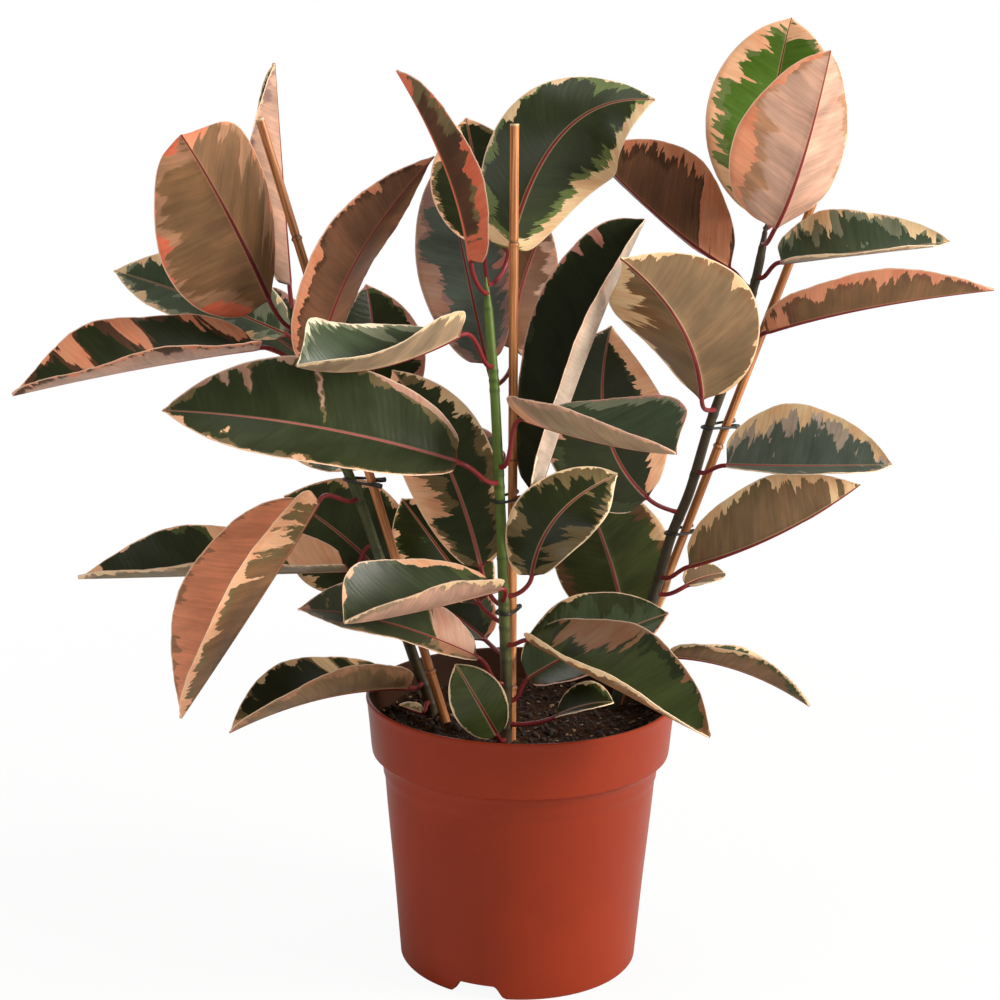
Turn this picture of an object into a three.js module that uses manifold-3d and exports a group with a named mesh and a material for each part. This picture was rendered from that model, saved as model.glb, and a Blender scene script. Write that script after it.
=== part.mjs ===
// A variegated rubber plant: three leafy stems, each tied to a bamboo cane, in a round plastic pot.
// Millimetres, +Z up. The pot stands on Z = 0. Every point below is measured from the pot's own axis.

import * as THREE from 'three';
import { mergeVertices } from 'three/addons/utils/BufferGeometryUtils.js';
import Module from 'manifold-3d';

const wasm = await Module();
wasm.setup();

// Driving dimensions of the pot
const RIM_RADIUS = 105;
const POT_HEIGHT = 187;
const BASE_RADIUS = 81.3;
const WALL = 1.9;
const BODY_TOP_RADIUS = 92.2;
const BODY_TOP = 131;
const STEP_RADIUS = 94;
const STEP_TOP = 141;
const BAND_RADIUS = 101.3;
const BAND_BOTTOM = 151;
const LIP_WIDTH = 2.4;
const LIP_DEPTH = 4;
const FLOOR_TOP = 12.5;
const FOOT_INNER_RADIUS = 76;
const FOOT_HEIGHT = 10;
const POT_SIDES = 40;
const NOTCH_COUNT = 2;
const NOTCH_WIDTH = 38;
const NOTCH_TOP_WIDTH = 24;
const NOTCH_HEIGHT = 9;
const NOTCH_TURN = -19;
const DRAIN_COUNT = 6;
const DRAIN_RADIUS = 5;
const DRAIN_CIRCLE = 48;
const DRAIN_SIDES = 10;

// Driving dimensions of the soil, stems, canes and ties
const SOIL_LEVEL = 165;
const SOIL_SIDES = 24;
const SOIL_LUMP = 1.1;
const GAP = 0.3;
const CANE_RADIUS = 3.2;
const CANE_BOTTOM = 30;
const CANE_SIDES = 8;
const CANE_JOINTS = [0.32, 0.6, 0.86];
const JOINT_RISE = 0.5;
const JOINT_REACH = 3;
const STEM_SIDES = 8;
const STEM_STEPS = 18;
const STEM_BOTTOM = 105;
const STEM_RADIUS_LOW = 4.1;
const STEM_RADIUS_HIGH = 2.9;
const BUD_SHARE = 0.06;
const TIE_RADIUS = 0.9;
const TIE_SIDES = 5;
const TIE_STEPS = 16;
const TIE_END = 6;
const TIE_END_RISE = 2;
const TIE_END_ANGLE = 14;
const TIE_SLACK_STEM = 0.75;
const TIE_SLACK_CANE = 0.6;

// Driving dimensions of every leaf
const BLADE_THICKNESS = 1.0;
const PETIOLE_RADIUS = 2.1;
const PETIOLE_BEND = 0.35;
const PETIOLE_GAP = 0.4;
const RIB_DEPTH = 1.1;
const RIB_DEPTH_AT_BASE = 1.2;
const LEAST_HALF_WIDTH = 0.8;
const WAVE_LAG = 2;
const ACROSS = 4;
const BLADE_STATIONS = [0, 0.05, 0.15, 0.3, 0.45, 0.6, 0.75, 0.88, 0.96, 1];
const PETIOLE_STATIONS = [0, 0.5];

// Colours
const POT_COLOUR = 0xb0502f;
const SOIL_COLOUR = 0x2b1c14;
const STEM_COLOUR = 0x55702a;
const CANE_COLOUR = 0xb8854a;
const TIE_COLOUR = 0x1c2222;
const LEAF_COLOUR = 0x3a4a30;

// Each stem's line from its foot in the soil to its tip, hand-measured
const STEMS = {
  left: [
    [-57, 14, STEM_BOTTOM], [-60, 14, 165], [-73, 10, 206], [-95, 4, 275], [-109, 0, 319],
    [-120, -4, 348], [-136, -7, 396], [-150, -8, 436], [-155, -8, 452],
  ],
  centre: [
    [-9, -53, STEM_BOTTOM], [-9.5, -52, 168], [-10, -50, 218], [-12, -48, 267], [-14, -45, 310],
    [-16, -42, 345], [-20, -36, 408], [-24, -30, 450], [-26, -27, 472],
  ],
  right: [
    [48, 34, STEM_BOTTOM], [64, 33, 165], [91, 31, 250], [101, 31, 290], [112, 30, 320],
    [124, 30, 366], [137, 29, 408], [152, 27, 470], [157, 26, 505],
  ],
};

// Each cane's lower and upper end
const CANES = {
  left: [[-10, -2, CANE_BOTTOM], [-170, -15, 569]],
  centre: [[-5, -43, CANE_BOTTOM], [-9, -22, 568]],
  right: [[21.5, 42, CANE_BOTTOM], [205, 38, 565]],
};

// The height of each tie round a stem and its cane
const TIES = [
  { name: 'tie_left', stem: 'left', height: 334 },
  { name: 'tie_centre_upper', stem: 'centre', height: 330 },
  { name: 'tie_centre_lower', stem: 'centre', height: 257 },
  { name: 'tie_right_upper', stem: 'right', height: 366 },
  { name: 'tie_right_lower', stem: 'right', height: 292 },
];

// Each leaf: the height of its node on the stem, the blade's base, the middle of its midrib and its tip,
// the blade's full width, the way its upper face looks and, where it is turned, how that looks at the tip,
// how far each half folds up and then curls on, in degrees, the wave of its margins, how far one half is
// set toward the tip and the other toward the base, and how blunt its tip is: 1 is the bluntest, and below
// 0 it draws out to a point
const LEAVES = {
  left: [
    { node: 436, base: [-163, -34, 456], middle: [-187, -58, 516], tip: [-212, -64, 561],
      width: 101, face: [-0.56, 0.82, -0.1], fold: 24, curl: 0, wave: 1, slant: -0.45, blunt: 1 },
    { node: 446, base: [-155, 8, 460], middle: [-160, 14, 529], tip: [-163, 8, 603],
      width: 64, face: [-0.95, -0.1, 0.1], fold: 32, curl: 10, wave: 1 },
    { node: 385, base: [-133, -28, 412], middle: [-109, -46, 481], tip: [-58, -50, 549],
      width: 66, face: [-0.75, 0.55, 0.3], fold: 15, curl: 0, wave: 1 },
    { node: 416, base: [-170, -28, 425], middle: [-244, -52, 415], tip: [-322, -62, 398],
      width: 82, face: [0, -0.23, 0.97], fold: 22, curl: 24, wave: 2, slant: 0.25 },
    { node: 410, base: [-157, 12, 427], middle: [-217, 28, 448], tip: [-276, 38, 465],
      width: 66, face: [-0.1, -0.55, 0.8], fold: 20, curl: 0, wave: 1 },
    { node: 394, base: [-146, 18, 410], middle: [-184, 46, 430], tip: [-222, 80, 442],
      width: 66, face: [0, -0.3, 0.9], fold: 20, curl: 0, wave: 1 },
    { node: 350, base: [-110, 22, 366], middle: [-102, 28, 410], tip: [-107, 34, 459],
      width: 70, face: [0.3, -0.85, 0.4], fold: 12, curl: 0, wave: 1 },
    { node: 321, base: [-133, -28, 325], middle: [-170, -52, 265], tip: [-223, -50, 182],
      width: 98, face: [-0.8, -0.45, 0.4], fold: 48, curl: 8, wave: 1, slant: 0.2 },
    { node: 288, base: [-116, 8, 269], middle: [-208, 10, 264], tip: [-303, 20, 257],
      width: 70, face: [0, -0.28, 0.95], fold: 36, curl: 15, wave: 2, slant: 0.25 },
    { node: 256, base: [-94, 26, 256], middle: [-122, 44, 281], tip: [-166, 58, 308],
      width: 86, face: [0, -0.85, 0.5], fold: 10, curl: 0, wave: 2 },
    { node: 190, base: [-75, -10, 192], middle: [-131, -42, 195], tip: [-190, -60, 176],
      width: 66, face: [0, 0.3, 0.95], turned: [0, -0.2, 0.98], fold: 35, curl: 18, wave: 1,
      slant: 0.2 },
    { node: 176, base: [-68, -2, 172], middle: [-75, -9, 177], tip: [-82, -16, 182],
      width: 14, face: [-0.6, -0.4, 0.6], fold: 20, curl: 0, wave: 0 },
  ],
  centre: [
    { node: 462, base: [-35, -52, 484], middle: [-49, -72, 542], tip: [-80, -70, 601],
      width: 56, face: [0.95, 0.1, 0.2], fold: 34, curl: 8, wave: 1 },
    { node: 410, base: [-25, 9, 410], middle: [-41, 34, 474], tip: [-56, 48, 543],
      width: 64, face: [-0.2, -0.95, 0.2], fold: 12, curl: 0, wave: 1 },
    { node: 467, base: [-12, -6, 484], middle: [22, -4, 562], tip: [79, -14, 583],
      width: 86, face: [0.12, -0.95, 0.25], turned: [0.2, -0.6, 0.75], fold: -23, curl: 0, wave: 1 },
    { node: 455, base: [-28, 5, 489], middle: [-33, 20, 528], tip: [-41, 30, 569],
      width: 62, face: [0, -0.9, 0.3], fold: 12, curl: 0, wave: 1 },
    { node: 404, base: [-8, 14, 419], middle: [-4, 46, 455], tip: [13, 54, 501],
      width: 62, face: [-0.3, 0.9, 0.2], fold: 14, curl: 0, wave: 1 },
    { node: 416, base: [-41, -70, 441], middle: [-91, -112, 427], tip: [-134, -146, 433],
      width: 70, face: [0, 0.2, 0.97], turned: [0, -0.55, 0.83], fold: 46, curl: 14, wave: 1,
      slant: 1.1, blunt: 1 },
    { node: 352, base: [0, -62, 387], middle: [49, -98, 380], tip: [91, -128, 380],
      width: 82, face: [0, -0.08, 1], fold: 32, curl: 20, wave: 1, slant: -0.85, blunt: 0.4 },
    { node: 342, base: [-41, -72, 361], middle: [-130, -100, 388], tip: [-220, -108, 398],
      width: 86, face: [0, -0.71, 0.71], fold: 20, curl: 12, wave: 1, slant: -0.15 },
    { node: 350, base: [-18, -2, 354], middle: [-98, 56, 342], tip: [-168, 74, 334],
      width: 64, face: [0, -0.5, 0.85], fold: 12, curl: 0, wave: 1 },
    { node: 296, base: [8, -30, 328], middle: [42, -7, 427], tip: [76, 4, 507],
      width: 84, face: [-0.75, -0.5, 0.1], fold: 45, curl: 10, wave: 1, slant: -0.6, blunt: 0.6 },
    { node: 268, base: [6, -50, 282], middle: [22, -54, 323], tip: [60, -42, 348],
      width: 52, face: [-0.2, -0.9, 0.3], fold: 12, curl: 0, wave: 2, slant: 0.3 },
    { node: 262, base: [-27, -33, 282], middle: [-52, -8, 349], tip: [-88, 12, 405],
      width: 62, face: [0.1, -0.9, 0.4], fold: 10, curl: 0, wave: 2 },
    { node: 266, base: [-14, -68, 278], middle: [-73, -98, 270], tip: [-109, -126, 271],
      width: 76, face: [0, -0.2, 0.97], fold: 34, curl: 28, wave: 1, slant: 0.5 },
    { node: 250, base: [-28, -26, 256], middle: [-56, 20, 280], tip: [-84, 46, 310],
      width: 60, face: [0.2, -0.85, 0.5], fold: 12, curl: 0, wave: 1 },
    { node: 228, base: [-24, -22, 230], middle: [-52, 20, 238], tip: [-84, 48, 244],
      width: 56, face: [0, -0.6, 0.8], fold: 15, curl: 0, wave: 1 },
    { node: 210, base: [-28, -64, 231], middle: [-86, -77, 257], tip: [-142, -80, 266],
      width: 66, face: [0, -0.32, 0.95], fold: 15, curl: 8, wave: 1 },
    { node: 172, base: [-15, -68, 180], middle: [-28, -76, 206], tip: [-42, -78, 231],
      width: 36, face: [0, -0.85, 0.5], fold: 8, curl: 0, wave: 0 },
    { node: 236, base: [6, -66, 243], middle: [57, -100, 226], tip: [117, -126, 201],
      width: 80, face: [0.1, -0.42, 0.9], fold: 34, curl: 32, wave: 2, slant: -0.25 },
    { node: 198, base: [4, -50, 212], middle: [46, -44, 235], tip: [96, -36, 254],
      width: 74, face: [-0.1, -0.45, 0.88], fold: 20, curl: 0, wave: 1 },
    { node: 182, base: [24, -58, 190], middle: [42, -66, 200], tip: [60, -70, 204],
      width: 34, face: [0, -0.4, 0.9], fold: 30, curl: 0, wave: 0 },
  ],
  right: [
    { node: 500, base: [162, 44, 505], middle: [162, 60, 570], tip: [171, 55, 635],
      width: 93, face: [0.1, -0.97, 0.15], fold: 8, curl: 0, wave: 1, blunt: 0.4 },
    { node: 490, base: [160, 5, 502], middle: [174, -8, 547], tip: [189, -5, 615],
      width: 92, face: [-0.45, 0.88, -0.17], fold: 22, curl: 5, wave: 1, blunt: 0.5 },
    { node: 468, base: [165, 15, 479], middle: [214, -5, 488], tip: [270, -10, 496],
      width: 68, face: [0, -0.42, 0.91], fold: 22, curl: 18, wave: 1, slant: 0.6 },
    { node: 424, base: [158, 14, 433], middle: [221, -5, 453], tip: [300, -10, 466],
      width: 54, face: [0, 0.35, 0.93], fold: 40, curl: 8, wave: 1, slant: -0.25 },
    { node: 378, base: [116, 0, 390], middle: [98, -32, 444], tip: [58, -52, 488],
      width: 99, face: [0.25, 0.93, 0.22], fold: 27, curl: 0, wave: 1, slant: 0.2, blunt: -2 },
    { node: 460, base: [136, 42, 471], middle: [91, 52, 502], tip: [40, 56, 550],
      width: 92, face: [0.38, 0.77, 0.51], fold: 44, curl: 5, wave: 1, slant: -0.35 },
    { node: 336, base: [134, 10, 344], middle: [186, -8, 348], tip: [240, -15, 351],
      width: 82, face: [0, -0.6, 0.8], fold: 32, curl: 18, wave: 1, slant: 0.25 },
    { node: 262, base: [112, 10, 274], middle: [168, -12, 303], tip: [220, -15, 338],
      width: 76, face: [-0.1, 0.8, 0.58], fold: 38, curl: 5, wave: 1 },
    { node: 250, base: [112, 27, 256], middle: [126, 35, 260], tip: [140, 42, 261],
      width: 28, face: [0, -0.3, 0.95], fold: 20, curl: 0, wave: 0 },
    { node: 306, base: [84, 22, 318], middle: [54, 14, 369], tip: [56, 8, 437],
      width: 86, face: [0, -0.95, 0.3], fold: 10, curl: 0, wave: 1 },
    { node: 206, base: [73, 52, 216], middle: [60, 58, 268], tip: [37, 56, 322],
      width: 86, face: [0.1, 0.9, 0.3], fold: 12, curl: 0, wave: 1 },
    { node: 200, base: [101, 26, 206], middle: [149, 10, 202], tip: [196, 0, 180],
      width: 42, face: [0, 0.25, 0.97], fold: 33, curl: 10, wave: 1 },
  ],
};

const vector = (p) => new THREE.Vector3(...p);

// A surface from its points and triangles
function surface(points, triangles) {
  const geometry = new THREE.BufferGeometry();
  geometry.setAttribute('position', new THREE.Float32BufferAttribute(points, 3));
  geometry.setIndex(triangles);
  return geometry;
}

// A closed body through a row of rings that all have the same number of points
function loft(rings) {
  const count = rings[0].length;
  const half = count / 2;
  const points = rings.flat().flatMap((p) => p.toArray());
  const triangles = [];
  for (let k = 0; k + 1 < rings.length; k += 1) {
    for (let j = 0; j < count; j += 1) {
      const next = (j + 1) % count;
      const a = k * count + j;
      const b = k * count + next;
      const c = b + count;
      const d = a + count;
      if (j < half) triangles.push(a, b, c, a, c, d);
      else triangles.push(a, b, d, b, c, d);
    }
  }
  const last = (rings.length - 1) * count;
  for (let j = 0; j + 1 < half; j += 1) {
    const k = count - 1 - j;
    triangles.push(j, k, j + 1, j + 1, k, k - 1);
    triangles.push(last + j, last + j + 1, last + k, last + j + 1, last + k - 1, last + k);
  }
  return surface(points, triangles);
}

// A three.js geometry as a solid that can be joined and cut
function solid(geometry) {
  const plain = geometry.clone();
  plain.deleteAttribute('normal');
  plain.deleteAttribute('uv');
  const merged = mergeVertices(plain, 1e-4);
  const mesh = new wasm.Mesh({
    numProp: 3,
    vertProperties: new Float32Array(merged.attributes.position.array),
    triVerts: new Uint32Array(merged.index.array),
  });
  mesh.merge();
  return new wasm.Manifold(mesh);
}

function geometryOf(manifold) {
  const mesh = manifold.getMesh();
  const stride = mesh.numProp;
  const points = [];
  for (let i = 0; i < mesh.vertProperties.length; i += stride) {
    points.push(...mesh.vertProperties.slice(i, i + 3));
  }
  return surface(points, Array.from(mesh.triVerts));
}

const plant = new THREE.Group();

function place(name, geometry, colour, roughness) {
  geometry.computeVertexNormals();
  const material = new THREE.MeshStandardMaterial({ color: colour, roughness, metalness: 0 });
  const mesh = new THREE.Mesh(geometry, material);
  mesh.name = name;
  plant.add(mesh);
  return mesh;
}

// The pot: a turned shell with a deep band under its rim, a foot ring with notches and holes in its floor
function potGeometry() {
  const profile = [
    [0, FOOT_HEIGHT], [FOOT_INNER_RADIUS, FOOT_HEIGHT], [FOOT_INNER_RADIUS + 1, 0],
    [BASE_RADIUS - 1, 0], [BASE_RADIUS, 1.2],
    [BODY_TOP_RADIUS, BODY_TOP], [BODY_TOP_RADIUS + 1, BODY_TOP + 2], [STEP_RADIUS, STEP_TOP],
    [STEP_RADIUS + 3, STEP_TOP + 5], [BAND_RADIUS - 1.3, BAND_BOTTOM - 2.5], [BAND_RADIUS, BAND_BOTTOM],
    [BAND_RADIUS + 3, POT_HEIGHT - LIP_DEPTH], [RIM_RADIUS, POT_HEIGHT - 2],
    [RIM_RADIUS - 0.6, POT_HEIGHT], [RIM_RADIUS - LIP_WIDTH, POT_HEIGHT],
    [RIM_RADIUS - LIP_WIDTH - 0.6, POT_HEIGHT - LIP_DEPTH], [BAND_RADIUS - WALL, BAND_BOTTOM],
    [STEP_RADIUS - WALL, STEP_TOP + 0.5], [BODY_TOP_RADIUS - WALL, BODY_TOP],
    [BASE_RADIUS - WALL, FLOOR_TOP], [0, FLOOR_TOP],
  ].map(([r, z]) => new THREE.Vector2(r, z));
  const shell = new THREE.LatheGeometry(profile, POT_SIDES).rotateX(Math.PI / 2);
  let pot = solid(shell);
  for (let i = 0; i < NOTCH_COUNT; i += 1) {
    const notch = new THREE.BoxGeometry(NOTCH_WIDTH, 30, 2 * NOTCH_HEIGHT);
    const corner = notch.attributes.position;
    for (let j = 0; j < corner.count; j += 1) {
      const taper = (1 - NOTCH_TOP_WIDTH / NOTCH_WIDTH) * (corner.getZ(j) / NOTCH_HEIGHT);
      corner.setX(j, corner.getX(j) * (1 - taper));
    }
    notch.translate(0, -BASE_RADIUS + 2, 0);
    notch.rotateZ(THREE.MathUtils.degToRad(NOTCH_TURN) + (i * 2 * Math.PI) / NOTCH_COUNT);
    pot = pot.subtract(solid(notch));
  }
  for (let i = 0; i < DRAIN_COUNT; i += 1) {
    const hole = new THREE.CylinderGeometry(DRAIN_RADIUS, DRAIN_RADIUS, 20, DRAIN_SIDES);
    hole.rotateX(Math.PI / 2);
    const angle = ((i + 0.5) * 2 * Math.PI) / DRAIN_COUNT;
    hole.translate(DRAIN_CIRCLE * Math.cos(angle), DRAIN_CIRCLE * Math.sin(angle), FLOOR_TOP);
    pot = pot.subtract(solid(hole));
  }
  return geometryOf(pot);
}

// A stem's radius falls from its foot to its tip, where it closes in a bud
function stemRadius(share) {
  const bud = Math.min(1, (1 - share) / BUD_SHARE);
  const plain = STEM_RADIUS_LOW + (STEM_RADIUS_HIGH - STEM_RADIUS_LOW) * share;
  return plain * Math.max(0.25, bud ** 0.6);
}

const stemCurves = {};
for (const [name, line] of Object.entries(STEMS)) {
  stemCurves[name] = new THREE.CatmullRomCurve3(line.map(vector), false, 'centripetal');
}

function stemGeometry(name, extra = 0) {
  const curve = stemCurves[name];
  const rings = [];
  for (let k = 0; k <= STEM_STEPS; k += 1) {
    const share = k / STEM_STEPS;
    const centre = curve.getPointAt(share);
    const along = curve.getTangentAt(share);
    const side = new THREE.Vector3(1, 0, 0).addScaledVector(along, -along.x).normalize();
    const front = new THREE.Vector3().crossVectors(along, side);
    const radius = stemRadius(share) + extra;
    rings.push(Array.from({ length: STEM_SIDES }, (_, j) => {
      const angle = (j * 2 * Math.PI) / STEM_SIDES;
      return centre.clone().addScaledVector(side, radius * Math.cos(angle))
        .addScaledVector(front, radius * Math.sin(angle));
    }));
  }
  return loft(rings);
}

// A bamboo cane: a turned rod with a raised ring at each joint, leaned into place
function caneGeometry(name, extra = 0) {
  const [low, high] = CANES[name].map(vector);
  const length = low.distanceTo(high);
  const profile = [[0, 0], [CANE_RADIUS + extra, 0]];
  for (const share of CANE_JOINTS) {
    const radius = CANE_RADIUS * (1.05 - 0.15 * share) + extra;
    const middle = share * length;
    profile.push([radius, middle - JOINT_REACH], [radius + JOINT_RISE, middle]);
    profile.push([radius, middle + JOINT_REACH]);
  }
  profile.push([CANE_RADIUS * 0.9 + extra, length], [0, length]);
  const lathe = new THREE.LatheGeometry(profile.map(([r, z]) => new THREE.Vector2(r, z)), CANE_SIDES);
  lathe.applyQuaternion(new THREE.Quaternion().setFromUnitVectors(
    new THREE.Vector3(0, 1, 0), high.clone().sub(low).normalize()));
  lathe.translate(low.x, low.y, low.z);
  return lathe;
}

// The soil: a turned plug inside the pot with an uneven top, and plain holes for the stems and canes
function soilGeometry() {
  const inner = (r) => r - WALL - GAP;
  const profile = [
    [0, FLOOR_TOP + GAP], [inner(BASE_RADIUS), FLOOR_TOP + GAP], [inner(BODY_TOP_RADIUS), BODY_TOP],
    [inner(STEP_RADIUS - 0.3), STEP_TOP + 0.5], [inner(BAND_RADIUS - 0.3), BAND_BOTTOM],
    [inner(BAND_RADIUS + 0.7), SOIL_LEVEL - 4], [93, SOIL_LEVEL - 2], [78, SOIL_LEVEL],
    [58, SOIL_LEVEL + 1], [38, SOIL_LEVEL + 1], [18, SOIL_LEVEL], [0, SOIL_LEVEL],
  ].map(([r, z]) => new THREE.Vector2(r, z));
  const plug = new THREE.LatheGeometry(profile, SOIL_SIDES).rotateX(Math.PI / 2);
  const position = plug.attributes.position;
  for (let i = 0; i < position.count; i += 1) {
    const x = position.getX(i);
    const y = position.getY(i);
    if (position.getZ(i) > SOIL_LEVEL - 3) {
      const lump = Math.sin(x / 9 + 1) * Math.cos(y / 11) + 0.7 * Math.sin((x + y) / 5.5);
      position.setZ(i, position.getZ(i) + SOIL_LUMP * lump);
    }
  }
  let soil = solid(plug);
  for (const name of Object.keys(STEMS)) {
    soil = soil.subtract(solid(stemGeometry(name, GAP)));
    soil = soil.subtract(solid(caneGeometry(name, GAP)));
  }
  return geometryOf(soil);
}

// The point on a line's middle at a height
function stemAt(name, height) {
  const curve = stemCurves[name];
  let low = 0;
  let high = 1;
  for (let i = 0; i < 30; i += 1) {
    const share = (low + high) / 2;
    if (curve.getPointAt(share).z < height) low = share;
    else high = share;
  }
  return { point: curve.getPointAt(low), along: curve.getTangentAt(low), radius: stemRadius(low) };
}

function caneAt(name, height) {
  const [low, high] = CANES[name].map(vector);
  return low.lerp(high, (height - low.z) / (high.z - low.z));
}

// A tie: a soft wire that loops round stem and cane, with its two ends side by side
function tieGeometry({ stem, height }) {
  const { point, radius } = stemAt(stem, height);
  const cane = caneAt(stem, height);
  const across = cane.clone().sub(point).setZ(0);
  const reach = across.length();
  across.normalize();
  const square = new THREE.Vector3(-across.y, across.x, 0);
  const loop = [];
  const stemTurn = radius + TIE_RADIUS + TIE_SLACK_STEM;
  const caneTurn = CANE_RADIUS + TIE_RADIUS + TIE_SLACK_CANE;
  const at = (centre, turn, degrees) => {
    const angle = THREE.MathUtils.degToRad(degrees);
    return centre.clone().addScaledVector(across, turn * Math.cos(angle))
      .addScaledVector(square, turn * Math.sin(angle));
  };
  const level = point.clone();
  const far = point.clone().addScaledVector(across, reach);
  loop.push(at(far, caneTurn + TIE_END, TIE_END_ANGLE).add(new THREE.Vector3(0, 0, TIE_END_RISE)));
  for (const degrees of [35, 65, 92]) loop.push(at(far, caneTurn, degrees));
  for (const degrees of [92, 125, 155, 180, 205, 235, 268]) loop.push(at(level, stemTurn, degrees));
  for (const degrees of [268, 295, 325]) loop.push(at(far, caneTurn, degrees));
  loop.push(at(far, caneTurn + TIE_END, -TIE_END_ANGLE).add(new THREE.Vector3(0, 0, -TIE_END_RISE)));
  const path = new THREE.CatmullRomCurve3(loop, false, 'centripetal');
  const section = new THREE.Shape();
  for (let j = 0; j < TIE_SIDES; j += 1) {
    const angle = (j * 2 * Math.PI) / TIE_SIDES;
    const x = TIE_RADIUS * Math.cos(angle);
    const y = TIE_RADIUS * Math.sin(angle);
    if (j === 0) section.moveTo(x, y);
    else section.lineTo(x, y);
  }
  const options = { steps: TIE_STEPS, extrudePath: path, curveSegments: 1 };
  const wire = new THREE.ExtrudeGeometry(section, options);
  return geometryOf(solid(wire));
}

// The half width of a blade, from 0 at its base to 1 at its tip, as a share of the full width
function bladeShare(t, blunt) {
  const power = 0.48 + 0.16 * (1 - blunt) * t;
  const taper = 1 - 0.6 * t ** (16 + 60 * Math.max(0, blunt));
  return 0.5 * Math.sin(Math.PI * Math.min(t, 0.985) ** 0.95) ** power * taper;
}

// One leaf: a round petiole that opens into a blade along a bent midrib
function leafGeometry(stem, leaf) {
  const base = vector(leaf.base);
  const tip = vector(leaf.tip);
  const control = vector(leaf.middle).multiplyScalar(2);
  control.addScaledVector(base, -0.5).addScaledVector(tip, -0.5);
  const midrib = new THREE.QuadraticBezierCurve3(base, control, tip);
  const face = vector(leaf.face);
  const turned = vector(leaf.turned ?? leaf.face);
  const node = stemAt(stem, leaf.node);
  const out = base.clone().sub(node.point);
  out.addScaledVector(node.along, -out.dot(node.along)).normalize();
  const foot = node.point.clone().addScaledVector(out, node.radius + PETIOLE_GAP);
  const reach = foot.distanceTo(base);
  const petiole = new THREE.CubicBezierCurve3(
    foot, foot.clone().addScaledVector(out, reach * PETIOLE_BEND),
    base.clone().addScaledVector(midrib.getTangent(0), -reach * PETIOLE_BEND), base);

  const frame = (curve, t) => {
    const along = curve.getTangent(t);
    const normal = curve === midrib ? face.clone().lerp(turned, t) : face.clone();
    normal.addScaledVector(along, -normal.dot(along)).normalize();
    const side = new THREE.Vector3().crossVectors(along, normal);
    return { centre: curve.getPoint(t), along, normal, side };
  };
  const rings = [];
  for (const t of PETIOLE_STATIONS) {
    const { centre, normal, side } = frame(petiole, t);
    rings.push(Array.from({ length: 2 * ACROSS + 2 }, (_, j) => {
      const angle = Math.PI - ((j + 0.5) * Math.PI) / (ACROSS + 1);
      return centre.clone().addScaledVector(side, PETIOLE_RADIUS * Math.cos(angle))
        .addScaledVector(normal, PETIOLE_RADIUS * Math.sin(angle));
    }));
  }
  for (const t of BLADE_STATIONS) {
    const { centre, along, normal, side } = frame(midrib, t);
    const slant = (leaf.slant ?? 0) * (1 - t ** 6);
    const least = t < 0.5 ? PETIOLE_RADIUS : LEAST_HALF_WIDTH;
    const halfWidth = Math.max(least, leaf.width * bladeShare(t, leaf.blunt ?? 0));
    const rib = t === 0 ? RIB_DEPTH_AT_BASE : RIB_DEPTH * (1 - t);
    const top = [];
    const bottom = [];
    for (let j = 0; j <= ACROSS; j += 1) {
      const s = (2 * j) / ACROSS - 1;
      const reachOut = Math.abs(s);
      const fold = THREE.MathUtils.degToRad(leaf.fold);
      const curl = THREE.MathUtils.degToRad(leaf.curl) + 1e-4;
      const across = (Math.sin(fold + curl * reachOut) - Math.sin(fold)) / curl;
      const lift = (Math.cos(fold) - Math.cos(fold + curl * reachOut)) / curl;
      const wave = leaf.wave * reachOut ** 2 * Math.sin(4 * Math.PI * t + (s > 0 ? 0 : WAVE_LAG));
      const middle = centre.clone()
        .addScaledVector(side, halfWidth * across * Math.sign(s))
        .addScaledVector(along, halfWidth * across * Math.sign(s) * slant)
        .addScaledVector(normal, halfWidth * lift + wave);
      const angle = s === 0 ? 0 : (fold + curl * reachOut) * Math.sign(s);
      const outward = normal.clone().multiplyScalar(Math.cos(angle));
      outward.addScaledVector(side, -Math.sin(angle));
      top.push(middle.clone().addScaledVector(outward, BLADE_THICKNESS / 2));
      const under = BLADE_THICKNESS / 2 + (s === 0 ? rib : 0);
      bottom.push(middle.addScaledVector(outward, -under));
    }
    rings.push([...top, ...bottom.reverse()]);
  }
  return loft(rings);
}

place('pot', potGeometry(), POT_COLOUR, 0.45);
place('soil', soilGeometry(), SOIL_COLOUR, 0.95);
for (const name of Object.keys(STEMS)) {
  place(`stem_${name}`, stemGeometry(name), STEM_COLOUR, 0.6);
  place(`cane_${name}`, geometryOf(solid(caneGeometry(name))), CANE_COLOUR, 0.5);
}
for (const tie of TIES) place(tie.name, tieGeometry(tie), TIE_COLOUR, 0.5);
for (const [stem, leaves] of Object.entries(LEAVES)) {
  leaves.forEach((leaf, i) => {
    const number = String(i + 1).padStart(2, '0');
    place(`leaf_${stem}_${number}`, leafGeometry(stem, leaf), LEAF_COLOUR, 0.4);
  });
}

// The plant stands with the middle of its bounding box over the origin
const middle = new THREE.Box3().setFromObject(plant, true).getCenter(new THREE.Vector3());
plant.position.set(-middle.x, -middle.y, 0);
const group = new THREE.Group();
group.add(plant);

export default group;
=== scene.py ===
"""A potted variegated rubber plant with three stems tied to bamboo canes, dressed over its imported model."""

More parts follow.
